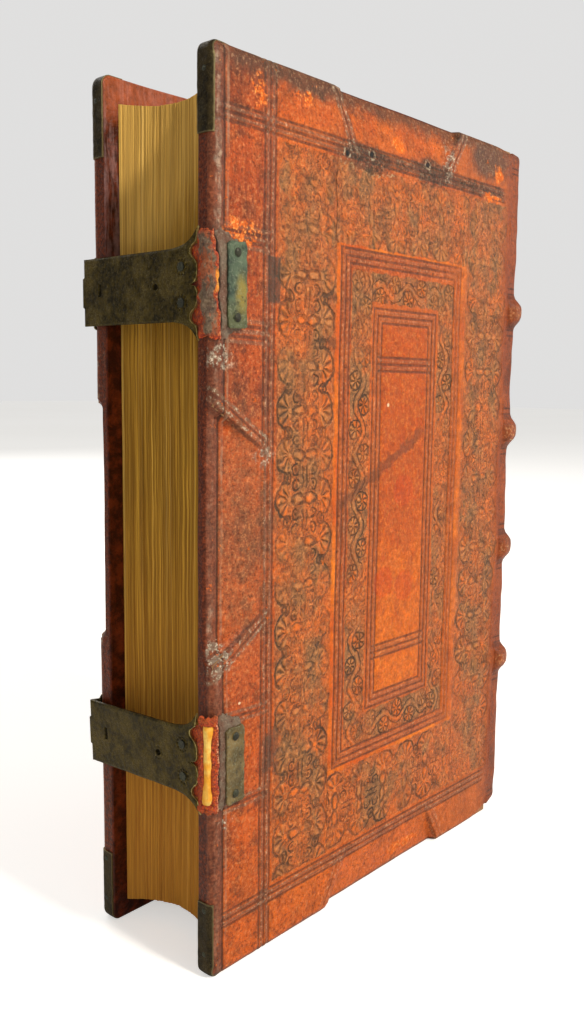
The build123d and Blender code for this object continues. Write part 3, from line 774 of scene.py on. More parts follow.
class Number:
    """A value that varies over a surface; sums and products of it add Math nodes."""

    def __init__(self, shade, socket):
        self.shade = shade
        self.socket = socket

    def __add__(self, other):
        return self.shade.math("ADD", self, other)

    __radd__ = __add__

    def __sub__(self, other):
        return self.shade.math("SUBTRACT", self, other)

    def __rsub__(self, other):
        return self.shade.math("SUBTRACT", other, self)

    def __mul__(self, other):
        return self.shade.math("MULTIPLY", self, other)

    __rmul__ = __mul__

    def __truediv__(self, other):
        return self.shade.math("DIVIDE", self, other)

    def __rtruediv__(self, other):
        return self.shade.math("DIVIDE", other, self)

    def __abs__(self):
        return self.shade.math("ABSOLUTE", self)


class Shade:
    """Adds nodes to one shader tree, each from a single call."""

    def __init__(self, tree):
        self.tree = tree

    def node(self, kind, inputs=(), **settings):
        """A node with its settings, and with its inputs linked or set."""
        node = self.tree.nodes.new(kind)
        for key, value in settings.items():
            setattr(node, key, value)
        for key, value in dict(inputs).items():
            value = value.socket if isinstance(value, Number) else value
            if isinstance(value, bpy.types.NodeSocket):
                self.tree.links.new(value, node.inputs[key])
            else:
                node.inputs[key].default_value = value
        return node

    def math(self, operation, *values):
        node = self.node("ShaderNodeMath", dict(enumerate(values)), operation=operation)
        return Number(self, node.outputs[0])

    def ramp(self, value, low, high):
        """0 below low, 1 above high, smooth between; low may be the larger."""
        node = self.node("ShaderNodeMapRange", {0: value, 1: low, 2: high}, interpolation_type="SMOOTHSTEP")
        return Number(self, node.outputs[0])

    def least(self, *values):
        result = values[0]
        for value in values[1:]:
            result = self.math("MINIMUM", result, value)
        return result

    def most(self, *values):
        result = values[0]
        for value in values[1:]:
            result = self.math("MAXIMUM", result, value)
        return result

    def length(self, a, b):
        return self.math("SQRT", a * a + b * b)

    def stripe(self, distance, width):
        """1 on a line, 0 past its width on either side."""
        return self.ramp(abs(distance), width, width * 0.3)

    def join(self, x, y, z):
        return self.node("ShaderNodeCombineXYZ", {0: x, 1: y, 2: z}).outputs[0]

    def split(self, vector):
        node = self.node("ShaderNodeSeparateXYZ", {0: vector})
        return [Number(self, node.outputs[axis]) for axis in range(3)]

    def stretch(self, vector, x, y, z):
        node = self.node("ShaderNodeVectorMath", {0: vector, 1: (x, y, z)}, operation="MULTIPLY")
        return node.outputs[0]

    def noise(self, vector, size, detail=4.0, rough=0.6):
        """Cloudy noise, 0 to 1, with patches of about one size."""
        node = self.node("ShaderNodeTexNoise", {"Vector": vector, "Scale": 1 / size, "Detail": detail,
                                                "Roughness": rough})
        return Number(self, node.outputs[0])

    def mix(self, amount, below, above):
        node = self.node("ShaderNodeMix", {0: amount, 6: below, 7: above}, data_type="RGBA")
        return node.outputs[2]

    def shade_by(self, colour, amount):
        """A colour made lighter or darker by a varying amount around 1."""
        node = self.node("ShaderNodeVectorMath", {0: colour, "Scale": amount}, operation="SCALE")
        return node.outputs[0]

    def use(self, group, **inputs):
        """Adds a node group, and gives its outputs by name."""
        node = self.node("ShaderNodeGroup", inputs, node_tree=group)
        return {out.name: Number(self, out) if out.type == "VALUE" else out for out in node.outputs}

    def patina(self, place, size):
        """Broad and fine mottling, as two masks."""
        masks = self.use(patina_group, Place=place, Size=size)
        return masks["Broad"], masks["Fine"]

    def unwrapped(self):
        """The two surface coordinates of a piece that carries its own map."""
        return self.split(self.node("ShaderNodeUVMap", uv_map="surface").outputs[0])[:2]


FLOAT, VECTOR = "NodeSocketFloat", "NodeSocketVector"


def shader_group(name, inputs, outputs, build):
    """A shader node group: build is given the shade and the inputs, and returns the outputs by name."""
    tree = bpy.data.node_groups.new(name, "ShaderNodeTree")
    for label, kind, value in inputs:
        socket = tree.interface.new_socket(label, in_out="INPUT", socket_type=kind)
        if value is not None:
            socket.default_value = value
    for label, kind in outputs:
        tree.interface.new_socket(label, in_out="OUTPUT", socket_type=kind)
    shade = Shade(tree)
    entry = tree.nodes.new("NodeGroupInput")
    leave = tree.nodes.new("NodeGroupOutput")
    given = {}
    for label, kind, _ in inputs:
        socket = entry.outputs[label]
        given[label] = Number(shade, socket) if kind == FLOAT else socket
    for label, value in build(shade, given).items():
        tree.links.new(value.socket if isinstance(value, Number) else value, leave.inputs[label])
    return tree


def build_place(s, given):
    """Book millimetres of each point, from its place in the frame."""
    point = s.node("ShaderNodeTexCoord").outputs["Object"]
    moved = s.node("ShaderNodeVectorMath", {0: point, 1: (FORE_X, 0, 0)}, operation="SUBTRACT").outputs[0]
    scaled = s.node("ShaderNodeVectorMath", {0: moved, "Scale": 1000.0}, operation="SCALE").outputs[0]
    return {"Place": scaled}


def build_grain(s, given):
    """Leather grain: fine unevenness down to the pores, and soft creases; height in mm."""
    place = given["Place"]
    folds = s.noise(place, 3.0, 4.0, 0.7)
    creases = s.ramp(abs(folds - 0.5), 0.0, 0.035)
    height = creases * 0.06 + folds * 0.40
    return {"Height": height * given["Amount"]}


def build_patina(s, given):
    """Broad and fine mottling for old metal, wood and leather: two masks."""
    broad = s.ramp(s.noise(given["Place"], given["Size"], 2.0, 0.6), 0.35, 0.65)
    fine = s.ramp(s.noise(given["Place"], given["Size"] * 0.17, 3.0, 0.7), 0.38, 0.68)
    return {"Broad": broad, "Fine": fine}


def build_scratches(s, given):
    """Thin stray scratches in two directions."""
    first = s.noise(s.stretch(given["Place"], 0.5, 6.0, 1.1), 2.2, 3.0, 0.6)
    second = s.noise(s.stretch(given["Place"], 3.0, 0.8, 5.0), 2.6, 3.0, 0.6)
    marks = s.most(s.ramp(abs(first - 0.5), 0.012, 0.0), s.ramp(abs(second - 0.5), 0.010, 0.0))
    return {"Scratches": marks * s.ramp(s.noise(given["Place"], 9.0, 2.0), 0.45, 0.6)}


def build_wide_roll(s, given):
    """The wide roll: two mirrored rows of rayed shells, with buds, rings, scrolls and strokes between."""
    period = 16.2
    middle = given["Across"] - 15.9
    s_off = abs(middle)
    v = (s.math("FRACT", given["Along"] / period) - 0.5) * period
    tall = abs(v)
    shell_x = s_off - 8.4
    away = s.length(shell_x, v)
    angle = abs(s.math("ARCTAN2", v, shell_x))
    rays = s.math("COSINE", angle * 10.0) * 0.5 + 0.5
    window = s.ramp(away, 1.5, 2.2) * s.ramp(away, 6.6, 5.6) * s.ramp(angle, 1.5, 1.25)
    shell = rays * window
    rim = s.stripe(away - 7.1, 0.75) * s.ramp(angle, 1.7, 1.4)
    boss = s.ramp(away, 1.3, 0.8)
    bud_away = s.length((s_off - 3.3) / 2.5, v / 1.35)
    bud = s.ramp(bud_away, 1.0, 0.6)
    bud_rim = s.stripe(bud_away - 1.35, 0.45)
    ring_away = s.length(s_off - 9.4, tall - period / 2)
    ring = s.stripe(ring_away - 2.0, 0.6)
    ring_dot = s.ramp(ring_away, 0.9, 0.4)
    scroll_away = s.length(s_off - 4.7, tall - 5.3)
    scroll = s.stripe(scroll_away - 1.9, 0.55) * s.ramp(s_off, 3.2, 4.2)
    scroll_eye = s.ramp(scroll_away, 0.8, 0.4)
    stroke = s.stripe(s_off - 1.1, 0.5) * s.ramp(tall, 3.6, 4.6)
    outside = s.ramp(away, 7.2, 8.2) * s.ramp(s_off, 10.2, 11.4)
    raised = s.most(shell, boss, bud)
    sunk = s.most(rim, bud_rim * 0.8, ring, ring_dot, scroll, scroll_eye * 0.7, stroke * 0.8)
    sunk = s.most(sunk, (1 - rays) * window * 0.9)
    sunk = sunk * (1 - raised * 0.6)
    return {"Raised": raised, "Sunk": sunk, "Plain": outside}


def build_narrow_roll(s, given):
    """The narrow roll: a waving stem with a rayed flower in each bend and small rings beside it."""
    period = 19.0
    across = given["Across"] - 6.4
    turn = given["Along"] * (2 * math.pi / period)
    stem = across - s.math("SINE", turn) * 2.7
    stem_line = s.stripe(stem, 0.75)
    beside = s.stripe(abs(stem) - 1.6, 0.45)
    v = (s.math("FRACT", given["Along"] / (period / 2)) - 0.5) * (period / 2)
    way = s.math("SIGN", s.math("SINE", turn))
    flower_x = across + way * 2.6
    away = s.length(flower_x, v)
    angle = s.math("ARCTAN2", v, flower_x)
    rays = s.math("COSINE", angle * 7.0) * 0.5 + 0.5
    petals = rays * s.ramp(away, 0.9, 1.3) * s.ramp(away, 3.4, 2.8)
    hub = s.ramp(away, 0.9, 0.5)
    rim = s.stripe(away - 3.7, 0.5)
    raised = s.most(petals, hub, stem_line * 0.6)
    sunk = s.most(rim, beside, (1 - rays) * s.ramp(away, 3.4, 2.8)) * (1 - raised * 0.6)
    return {"Raised": raised, "Sunk": sunk}


PLACE_INPUT = ("Place", VECTOR, None)
ROLL_INPUTS = [("Across", FLOAT, 0.0), ("Along", FLOAT, 0.0)]
place_group = shader_group("book_millimetres", [], [("Place", VECTOR)], build_place)
grain_group = shader_group("leather_grain", [PLACE_INPUT, ("Amount", FLOAT, 1.0)], [("Height", FLOAT)], build_grain)
patina_group = shader_group("old_patina", [PLACE_INPUT, ("Size", FLOAT, 12.0)],
                            [("Broad", FLOAT), ("Fine", FLOAT)], build_patina)
scratch_group = shader_group("stray_scratches", [PLACE_INPUT], [("Scratches", FLOAT)], build_scratches)
wide_group = shader_group("wide_roll", ROLL_INPUTS, [("Raised", FLOAT), ("Sunk", FLOAT), ("Plain", FLOAT)],
                          build_wide_roll)
narrow_group = shader_group("narrow_roll", ROLL_INPUTS, [("Raised", FLOAT), ("Sunk", FLOAT)], build_narrow_roll)


def new_material(name):
    """A material with its Principled shader, and a shade to build the rest with."""
    material = bpy.data.materials.new(name)
    material.use_nodes = True
    shader = material.node_tree.nodes["Principled BSDF"]
    shade = Shade(material.node_tree)
    place = shade.use(place_group)["Place"]
    return material, shader, shade, place


def finish(shade, shader, colour, rough, height=None, metal=None):
    """Connects colour, roughness, a bump whose height is in millimetres, and how metallic it is."""
    links = shade.tree.links
    links.new(colour, shader.inputs["Base Color"])
    links.new(rough.socket, shader.inputs["Roughness"])
    if height is not None:
        bump = shade.node("ShaderNodeBump", {"Height": height, "Distance": MM, "Strength": 1.0})
        links.new(bump.outputs[0], shader.inputs["Normal"])
    if metal is not None:
        links.new(metal.socket, shader.inputs["Metallic"])


# ---------------------------------------------------------------- materials


def rectangle(s, x, z, frame_box):
    """Distance outside a rectangle on the cover, minus inside."""
    x0, x1, z0, z1 = frame_box
    return s.most(abs(x - (x0 + x1) / 2) - (x1 - x0) / 2, abs(z - (z0 + z1) / 2) - (z1 - z0) / 2)


def spot(s, x, z, centre_x, centre_z, wide, tall, soft=0.35):
    """A soft-edged patch on the cover: 1 inside an ellipse, 0 outside."""
    away = s.length((x - centre_x) / wide, (z - centre_z) / tall)
    return s.ramp(away, 1 + soft, 1 - soft)


def spots(s, x, z, places, soft=0.35):
    """Several patches together, each with its place, half width and half height."""
    return s.most(*[spot(s, x, z, *place, soft) for place in places])


def border_strip(s, x, z, outer, inner, start=0.0):
    """A roll's strip between two rectangles: its area, and the distances across and along it."""
    area = s.ramp(rectangle(s, x, z, outer), 0.3, -0.3) * s.ramp(rectangle(s, x, z, inner), -0.3, 0.3)
    upright = s.ramp(abs(x - (inner[0] + inner[1]) / 2) - (inner[1] - inner[0]) / 2, -0.3, 0.3)
    from_side = (outer[1] - outer[0]) / 2 - abs(x - (outer[0] + outer[1]) / 2)
    from_end = (outer[3] - outer[2]) / 2 - abs(z - (outer[2] + outer[3]) / 2)
    across = upright * from_side + (1 - upright) * from_end
    along = upright * z + (1 - upright) * (x + start)
    return area, across, along


def cover_leather():
    """Tooled calf over the covers and spine, rubbed to orange, with dark handling and old stains, and painted
    highlights on the rounded fore-edge rim and the upper turn-ins.
    """
    material, shader, s, place = new_material("tooled_leather")
    x, y, z = s.split(place)
    broad, fine = s.patina(place, 26.0)
    broad_small, fine_small = s.patina(place, 7.0)

    warp = s.noise(place, 5.4, 2.0, 0.65) - 0.5
    warp_z = s.noise(s.stretch(place, 1.0, 1.0, -1.3), 5.4, 2.0, 0.65) - 0.5
    tx, tz = x + warp * 2.8, z + warp_z * 3.0
    wx, wz = x + warp * 8, z + warp_z * 8

    wide_area, across, along = border_strip(s, tx, tz, WIDE_OUTER, WIDE_INNER, 5.0)
    wide = s.use(wide_group, Across=across, Along=along)
    wide_raised, wide_sunk, wide_plain = [wide[part] * wide_area for part in ("Raised", "Sunk", "Plain")]
    narrow_area, across, along = border_strip(s, tx, tz, NARROW_OUTER, NARROW_INNER)
    narrow = s.use(narrow_group, Across=across, Along=along)
    narrow_raised, narrow_sunk = narrow["Raised"] * narrow_area, narrow["Sunk"] * narrow_area

    # Pressed lines: three dark grooves with a polished ridge between each two
    def pressed(distance):
        away = abs(distance)
        return s.most(s.stripe(away, 0.85), s.stripe(away - 2.7, 0.8))

    def ridge(distance):
        return s.stripe(abs(distance) - 1.35, 0.85)

    frame_line, panel_line = rectangle(s, x, z, FRAME_LINES), rectangle(s, x, z, PANEL_LINES)
    in_panel = s.ramp(panel_line, 0.5, -0.5)
    by_fore = s.ramp(x, 28.5, 26.5)
    on_face = s.ramp(x, 187.5, 180.0)
    off_right = s.ramp(x, 150.0, 128.0) * 0.5 + 0.5
    ends = (z - LINE_HEAD, z - LINE_TAIL)
    dark_lines = s.most(pressed(x - LINE_X), *[pressed(end) * on_face for end in ends],
                        pressed(frame_line) * off_right, pressed(panel_line) * off_right)
    pale_lines = s.most(ridge(x - LINE_X), *[ridge(end) * on_face for end in ends],
                        ridge(frame_line) * 0.55 * off_right, ridge(panel_line) * 0.55 * off_right)
    for level in CROSS_LINES:
        dark_lines = s.most(dark_lines, pressed(z - level) * in_panel)
        pale_lines = s.most(pale_lines, ridge(z - level) * in_panel * 0.55)
    slant = z + x * 0.02 - 1.9
    off_clasp_line = s.least(*[abs(slant - level) for level in CLASP_LINES])
    dark_lines = s.most(dark_lines, s.stripe(off_clasp_line, 0.9) * by_fore)
    pale_lines = s.most(pale_lines, s.stripe(off_clasp_line - 1.7, 1.0) * by_fore)

    # Lines beside the slanted stops of the bevels
    def stop_lines(along_edge, inward, bevel):
        slope = (bevel["edge"] - bevel["inner"]) / bevel["width"]
        away = abs(along_edge - bevel["middle"]) - (bevel["edge"] - inward * slope)
        away = away * math.cos(math.atan(slope))
        near = s.ramp(inward, bevel["width"] + 3.0, bevel["width"] - 1.0)
        dark = s.most(s.stripe(away - 1.0, 1.0), s.stripe(away - 4.0, 0.8)) * near
        pale = s.most(s.stripe(away - 2.5, 1.1), s.stripe(away - 5.4, 1.0)) * near
        return dark, pale, s.ramp(away, -0.5, -1.5) * near

    fore_dark, fore_pale, fore_slope = stop_lines(z, x, FORE_BEVEL)
    head_dark, head_pale, _ = stop_lines(x, HEIGHT - z, END_BEVEL)
    tail_dark, tail_pale, _ = stop_lines(x, z, END_BEVEL)
    dark_lines = s.most(dark_lines * (1 - 0.6 * fore_slope), fore_dark, head_dark, tail_dark * 0.6)
    pale_stops = s.most(fore_pale, head_pale, tail_pale * 0.4)

    # Masks of wear, from broad to fine
    cloud = s.ramp(s.noise(s.stretch(place, 1.0, 1.0, 0.6), 15.0, 2.0, 0.6), 0.36, 0.64)
    orange_patch = s.ramp(s.noise(s.stretch(place, 1.0, -1.0, 0.8), 13.0, 3.0, 0.65), 0.44, 0.60)
    crumbs = s.noise(place, 2.4, 2.0, 0.72)
    worm = s.ramp(abs(crumbs - 0.5), 0.050, 0.004)
    broken = s.ramp(crumbs, 0.44, 0.56)
    grains = s.noise(place, 1.2, 2.0, 0.75)
    speck = s.ramp(grains, 0.53, 0.66)
    pit = s.ramp(grains, 0.44, 0.34)
    streak = s.ramp(s.noise(s.stretch(place, 1.0, 1.0, 0.10), 1.3, 3.0, 0.65), 0.42, 0.66)
    blot = s.ramp(s.noise(s.stretch(place, 1.0, 1.0, -1.0), 8.0, 4.0, 0.65), 0.50, 0.64)

    # Ground: red at the fore-edge, orange in the middle, browner towards the spine
    right = s.ramp(x + (broad_small - 0.5) * 22, 122.0, 172.0)
    red = s.mix(streak * 0.6, paint(154, 62, 18), paint(192, 96, 40))
    ground = s.mix(broad * 0.55, red, paint(198, 82, 14))
    ground = s.mix(s.ramp(z + cloud * 60, 150.0, 20.0) * 0.5, ground, paint(206, 98, 20))
    ground = s.mix(blot * 0.62, ground, paint(92, 50, 28))
    glaze = s.ramp(s.noise(s.stretch(place, 1.0, 1.0, 0.6), 19.0, 3.0, 0.7), 0.47, 0.66)
    ground = s.mix(glaze * 0.5, ground, paint(84, 44, 26))
    haze = spot(s, x + (broad_small - 0.5) * 9, z, 15, 158, 13, 44, 0.5)
    ground = s.mix(haze * (0.25 + 0.35 * fine_small), ground, paint(138, 96, 66))
    ground = s.mix(s.ramp(x, 26.0, 34.0) * (0.3 + orange_patch * 0.4), ground, paint(202, 96, 22))
    ground = s.mix(speck * 0.42, ground, paint(208, 134, 82))
    ground = s.mix(pit * 0.62, ground, paint(78, 34, 16))
    strip = s.ramp(rectangle(s, tx, tz, WIDE_INNER), 0.6, -0.6) * s.ramp(frame_line, 2.6, 3.6)
    ground = s.mix(strip * (1 - right * 0.4) * (1 - blot * 0.6) * 0.9, ground,
                   s.mix(cloud, paint(196, 82, 8), paint(222, 118, 14)))
    inner = s.ramp(rectangle(s, x, z, PANEL_FIELD), 0.8, -0.8)
    low_glow = s.mix(s.ramp(z + cloud * 30, 190.0, 110.0), paint(178, 74, 4), paint(212, 102, 2))
    low_glow = s.mix(fine * 0.5, low_glow, paint(170, 84, 30))
    low_glow = s.mix(pit * 0.4, low_glow, paint(130, 54, 14))
    low_glow = s.mix(speck * 0.3, low_glow, paint(232, 146, 60))
    low_glow = s.mix(blot * 0.35, low_glow, paint(140, 62, 20))
    low_glow = s.mix(streak * blot * 0.4, low_glow, paint(196, 62, 6))
    ground = s.mix(inner * 0.9, ground, low_glow)
    between = s.ramp(rectangle(s, x, z, NARROW_INNER), 0.5, -0.5) * (1 - inner)
    ground = s.mix(between * 0.5, ground, paint(190, 92, 30))
    brown = s.mix(cloud, paint(146, 72, 28), paint(186, 94, 34))
    ground = s.mix(right * 0.75, ground, brown)

    # Rolls: browned by handling, dark in the hollows, orange or tan on the ridges
    rolled_area = s.most(wide_area, narrow_area)
    legible = 0.35 + 0.65 * s.ramp(s.noise(place, 20.0, 1.0, 0.5), 0.36, 0.58)
    legible = legible * (0.55 + 0.45 * s.ramp(z, 275.0, 240.0)) * (1 - right * 0.35)
    busy = s.mix(cloud, paint(174, 92, 40), paint(146, 98, 56))
    busy = s.mix(orange_patch * 0.60, busy, paint(208, 98, 28))
    busy = s.mix(worm * 0.62, busy, paint(82, 50, 30))
    busy = s.mix(speck * 0.55, busy, paint(204, 134, 76))
    busy = s.mix(pit * 0.72, busy, paint(66, 42, 28))
    rolled = s.mix(rolled_area * (1 - wide_plain * 0.45), ground, busy)
    sunk = s.most(wide_sunk, narrow_sunk) * legible
    raised = s.most(wide_raised, narrow_raised) * legible
    hollows = s.mix(broad_small, paint(70, 42, 24), paint(54, 42, 32))
    rolled = s.mix(sunk * (0.50 + 0.40 * cloud), rolled, hollows)
    rolled = s.mix(raised * 0.80, rolled, s.mix(orange_patch, paint(194, 124, 68), paint(218, 106, 30)))
    rolled = s.mix(rolled_area * blot * 0.42, rolled, paint(68, 50, 36))
    rolled = s.mix(right * (1 - rolled_area) * speck * 0.3, rolled, paint(186, 112, 62))
    rolled = s.mix(dark_lines * (0.60 + 0.25 * fine_small), rolled, paint(74, 44, 30))
    ridge_colour = s.mix(speck, paint(112, 82, 62), paint(176, 142, 114))
    rolled = s.mix(pale_lines * (0.45 + 0.40 * fine_small), rolled, ridge_colour)

    # Stains and losses, each patch broken up by noise, with painted highlights on the rounded fore-edge rim and the
    # upper turn-ins
    head_patch = s.most(spots(s, wx, wz, HEAD_STAINS),
                        s.stripe(wz - LINE_HEAD, 3.4) * s.ramp(x, 92.0, 100.0) * on_face * 0.8)
    patch_rim = s.stripe(s.length((wx - 81) / 16, (wz - 297.5) / 5) - 1.15, 0.07) * s.ramp(wz, 297.0, 294.0)
    squares = s.most(s.ramp(rectangle(s, x + warp * 0.8, z, (26.2, 32.4, 240.0, 255.5)), 0.6, -0.4),
                     s.ramp(rectangle(s, wx, wz, (26.4, 33.0, 70.0, 85.0)), 1.2, -1.2) * 0.8)
    soot = s.mix(speck, paint(44, 38, 28), paint(104, 92, 72))
    stained = s.mix(head_patch * (0.65 + 0.3 * fine_small), rolled, soot)
    stained = s.mix(patch_rim * broken * 0.8, stained, paint(168, 138, 100))
    stained = s.mix(squares * (0.7 + 0.25 * speck), stained, paint(62, 54, 44))
    stain_line = (wz - 175) - (wx - 87) * 0.5
    diagonal = s.stripe(stain_line, 3.6) * s.ramp(abs(x - 94), 34.0, 22.0)
    stained = s.mix(diagonal * 0.6, stained, paint(92, 52, 32))
    stained = s.mix(spots(s, x, z, ROUND_STAINS, 0.08) * 0.35, stained, paint(186, 56, 10))
    head_dirt = s.ramp(z + warp * 9 - x * 0.01, 309.5, 316.0)
    corner_dirt = spots(s, wx, wz, CORNER_DIRT)
    dirt = s.mix(speck, paint(72, 54, 40), paint(124, 102, 78))
    stained = s.mix(s.most(head_dirt * 0.75, corner_dirt * 0.85), stained, dirt)
    edge = s.least(s.least(x, z), HEIGHT - z)
    rim = s.ramp(x, RIM_LINE + 0.6, RIM_LINE - 0.8)
    shine = s.ramp(s.noise(s.stretch(place, 1.0, 1.0, 0.16), 2.6, 4.0, 0.7), 0.40, 0.62)
    # Painted highlight along the rounded fore-edge rim: a pale broken streak, strongest over the upper part and
    # near the lower bevel stop
    highlight_strength = s.most(s.ramp(z, 226.0, 246.0), spot(s, wx, wz, 2, 120, 12, 12))
    painted_rim_highlight = s.stripe(x - 2.4 + warp * 3.0, 1.6) * (0.10 + 0.90 * shine) * (0.35 + 0.65 * broken)
    rim_colour = s.mix(fine_small, paint(86, 46, 32), paint(132, 76, 52))
    rim_colour = s.mix(painted_rim_highlight * (0.20 + 0.60 * highlight_strength), rim_colour, paint(176, 156, 132))
    stained = s.mix(rim * 0.85 * s.ramp(z, 318.0, 314.0), stained, rim_colour)
    stained = s.mix(s.stripe(x - RIM_LINE, 0.7) * 0.8, stained, paint(56, 34, 22))
    stained = s.mix(s.ramp(z, 2.6, 1.2) * 0.6, stained, paint(66, 40, 26))
    rim_ridge = s.stripe(x - RIM_LINE - 1.5, 0.8)
    stained = s.mix(rim_ridge * (0.08 + 0.45 * shine), stained, paint(158, 126, 100))
    stop_colour = s.mix(speck, paint(120, 92, 70), paint(184, 168, 142))
    stained = s.mix(pale_stops * (0.30 + 0.50 * broken), stained, stop_colour)
    chafed = s.most(spots(s, wx, wz, CHAFED), spot(s, wx, wz, 25, 187, 5, 3) * 0.7,
                    spot(s, wx, wz, 137, 306, 3, 9) * 0.8)
    stained = s.mix(chafed * broken * 0.8, stained, s.mix(speck, paint(132, 116, 98), paint(206, 194, 170)))
    torn = s.most(spots(s, wx, wz, TORN), spots(s, wx, wz, FRAYED) * broken,
                  spot(s, wx, wz, 120, 8, 12, 2.2) * 0.7)
    flakes = s.ramp(s.noise(place, 3.4, 4.0, 0.8), 0.63, 0.69)
    torn = s.most(torn, flakes * 0.7)
    stained = s.mix(torn * 0.85, stained, s.mix(speck, paint(224, 104, 24), paint(244, 164, 84)))
    off_hole = s.least(*[s.length(x - hole, z - level) for hole, level in NAIL_HOLES])
    stained = s.mix(s.stripe(off_hole - 1.8, 0.6) * broken * 0.8, stained, paint(176, 160, 132))
    stained = s.mix(s.ramp(off_hole, 1.3, 0.9), stained, paint(20, 16, 12))
    stained = s.mix(spots(s, x, z, PALE_CHIPS, 0.3), stained, paint(236, 200, 160))
    band_red = s.ramp(x + warp * 5, 180.0, 190.0)
    stained = s.mix(band_red * 0.6, stained, s.mix(fine_small, paint(96, 38, 20), paint(140, 66, 36)))
    spine = s.ramp(x, 188.0, 191.0)
    beside_bands = s.most(*[s.stripe(abs(abs(z - band) - 9.6) - 1.3, 0.6) for band in BANDS])
    spine_ends = s.most(s.stripe(abs(z - 9.0) - 1.2, 0.6), s.stripe(abs(z - HEIGHT + 9.0) - 1.2, 0.6))
    spine_lines = s.most(beside_bands, spine_ends) * spine
    band_tops = s.most(*[s.stripe(z - band, 4.4) for band in BANDS]) * spine
    band_feet = s.most(*[s.stripe(abs(z - band) - 6.8, 1.5) for band in BANDS]) * spine
    stained = s.mix(spine * worm * 0.45, stained, paint(66, 32, 20))
    stained = s.mix(spine * glaze * 0.45, stained, paint(72, 36, 24))
    stained = s.mix(band_feet * 0.45, stained, paint(58, 28, 18))
    rubbed = s.mix(speck, paint(150, 84, 48), paint(196, 138, 92))
    stained = s.mix(band_tops * (0.25 + 0.55 * broken), stained, rubbed)
    stained = s.mix(spine_lines * (0.55 + 0.3 * fine_small), stained, paint(48, 24, 16))
    side_wall = s.ramp(y * y, (HALF - 2.4) ** 2, (HALF - 3.4) ** 2)
    side_wall = side_wall * s.ramp(edge, 1.2, 0.5) * s.ramp(x, 189.0, 187.0)
    wall = s.mix(fine_small, paint(58, 20, 4), paint(112, 44, 12))
    wall = s.mix(speck * 0.35, wall, paint(150, 70, 34))
    colour = s.mix(side_wall * 0.9, stained, wall)
    inside = s.ramp(y * y, (HALF - COVER + 0.6) ** 2, (HALF - COVER + 0.3) ** 2) * s.ramp(x, 189.5, 188.5)
    turned = s.mix(fine, paint(58, 18, 4), paint(108, 42, 14))
    # Painted highlight: a pale mauve sheen over the upper part of the turn-ins
    turned = s.mix(shine * 0.55 * s.ramp(z, 232.0, 262.0), turned, paint(150, 116, 112))
    turned = s.mix(s.ramp(z, 300.0, 312.0) * 0.5, turned, paint(186, 92, 42))
    colour = s.mix(inside, colour, turned)
    uneven = s.noise(place, 3.2, 4.0, 0.85)
    colour = s.shade_by(colour, 0.05 + uneven * 1.9)

    height = uneven * 0.60 + raised * 0.30 - sunk * 0.34
    rough = 0.30 + fine_small * 0.20 + sunk * 0.12 + blot * 0.08 + torn * 0.25 + s.least(chafed, 1.0) * 0.1
    finish(s, shader, colour, rough, height)
    shader.inputs["Specular IOR Level"].default_value = 0.2
    return material


def strap_leather(name, split):
    """Worn strap leather: a greyed grain side that has broken away from orange suede at its edges."""
    material, shader, s, place = new_material(name)
    u, v = s.unwrapped()
    run, height = u * 50 - 15, v * 50 - 20
    grain = s.use(grain_group, Place=place, Amount=1.6)["Height"]
    broad, fine = s.patina(place, 4.0)
    speck = s.ramp(s.noise(place, 0.9, 5.0, 0.75), 0.50, 0.64)
    pit = s.ramp(s.noise(s.stretch(place, -1.0, 1.0, 1.0), 1.4, 5.0, 0.7), 0.45, 0.36)
    warp = s.noise(place, 3.0, 4.0) - 0.5
    suede = s.mix(fine, paint(140, 36, 4), paint(206, 78, 10))
    suede = s.mix(speck * 0.55, suede, paint(238, 132, 40))
    suede = s.mix(pit * 0.6, suede, paint(88, 26, 6))
    skin = s.mix(broad, paint(88, 72, 56), paint(122, 104, 80))
    skin = s.mix(speck * 0.5, skin, paint(170, 152, 122))
    bare = s.ramp(s.noise(s.stretch(place, 1.0, 1.0, 0.5), 4.0, 3.0, 0.7), 0.50, 0.60)
    skin = s.mix(bare * 0.7, skin, paint(176, 82, 30))
    skin = s.mix(pit * 0.6, skin, paint(48, 36, 28))
    if split:
        colour = s.mix(s.ramp(abs(height), 15.2, 16.4) * 0.3, suede, paint(196, 96, 36))
    else:
        tube = s.ramp(abs(run - 4.4 + warp * 2.0), 2.9, 2.1) * s.ramp(abs(height), 17.4, 15.4)
        colour = s.mix(tube * 0.95, suede, skin)
        bright = s.stripe(run - 1.1 + warp, 1.0) * s.ramp(abs(height - 1.0), 4.6, 2.0)
        colour = s.mix(bright * 0.9, colour, paint(250, 160, 44))
        ends = s.ramp(run, 7.0, 8.2)
        colour = s.mix(ends * s.ramp(warp, 0.04, -0.06) * 0.7, colour, paint(70, 26, 10))
    worn = s.mix(broad, paint(112, 78, 58), paint(126, 108, 88))
    worn = s.mix(speck * 0.5, worn, paint(168, 146, 122))
    worn = s.mix(pit * 0.5, worn, paint(104, 52, 32))
    colour = s.mix(s.ramp(run, 0.2, -0.5), colour, worn)
    colour = s.mix(s.stripe(run, 0.75) * 0.95, colour, paint(22, 8, 4))
    torn_edge = s.stripe(run - 1.0 + warp * 0.5, 0.45) * s.ramp(speck + fine, 0.5, 1.0)
    colour = s.mix(torn_edge * (0.75 if split else 0.3), colour, paint(232, 196, 150))
    rough = 0.62 + fine * 0.2
    bump = grain + fine * 0.14 + speck * 0.10 - pit * 0.16
    finish(s, shader, colour, rough, bump)
    return material


def core_lining():
    """Pale tawed skin inside the split strap."""
    material, shader, s, place = new_material("pale_lining")
    broad, fine = s.patina(place, 5.0)
    colour = s.mix(broad, paint(240, 168, 40), paint(246, 208, 104))
    colour = s.mix(fine * 0.3, colour, paint(206, 122, 26))
    fibres = s.noise(s.stretch(place, 1.0, 1.0, 0.12), 0.5, 4.0)
    finish(s, shader, colour, 0.72 + fine * 0.12, fibres * 0.25)
    return material


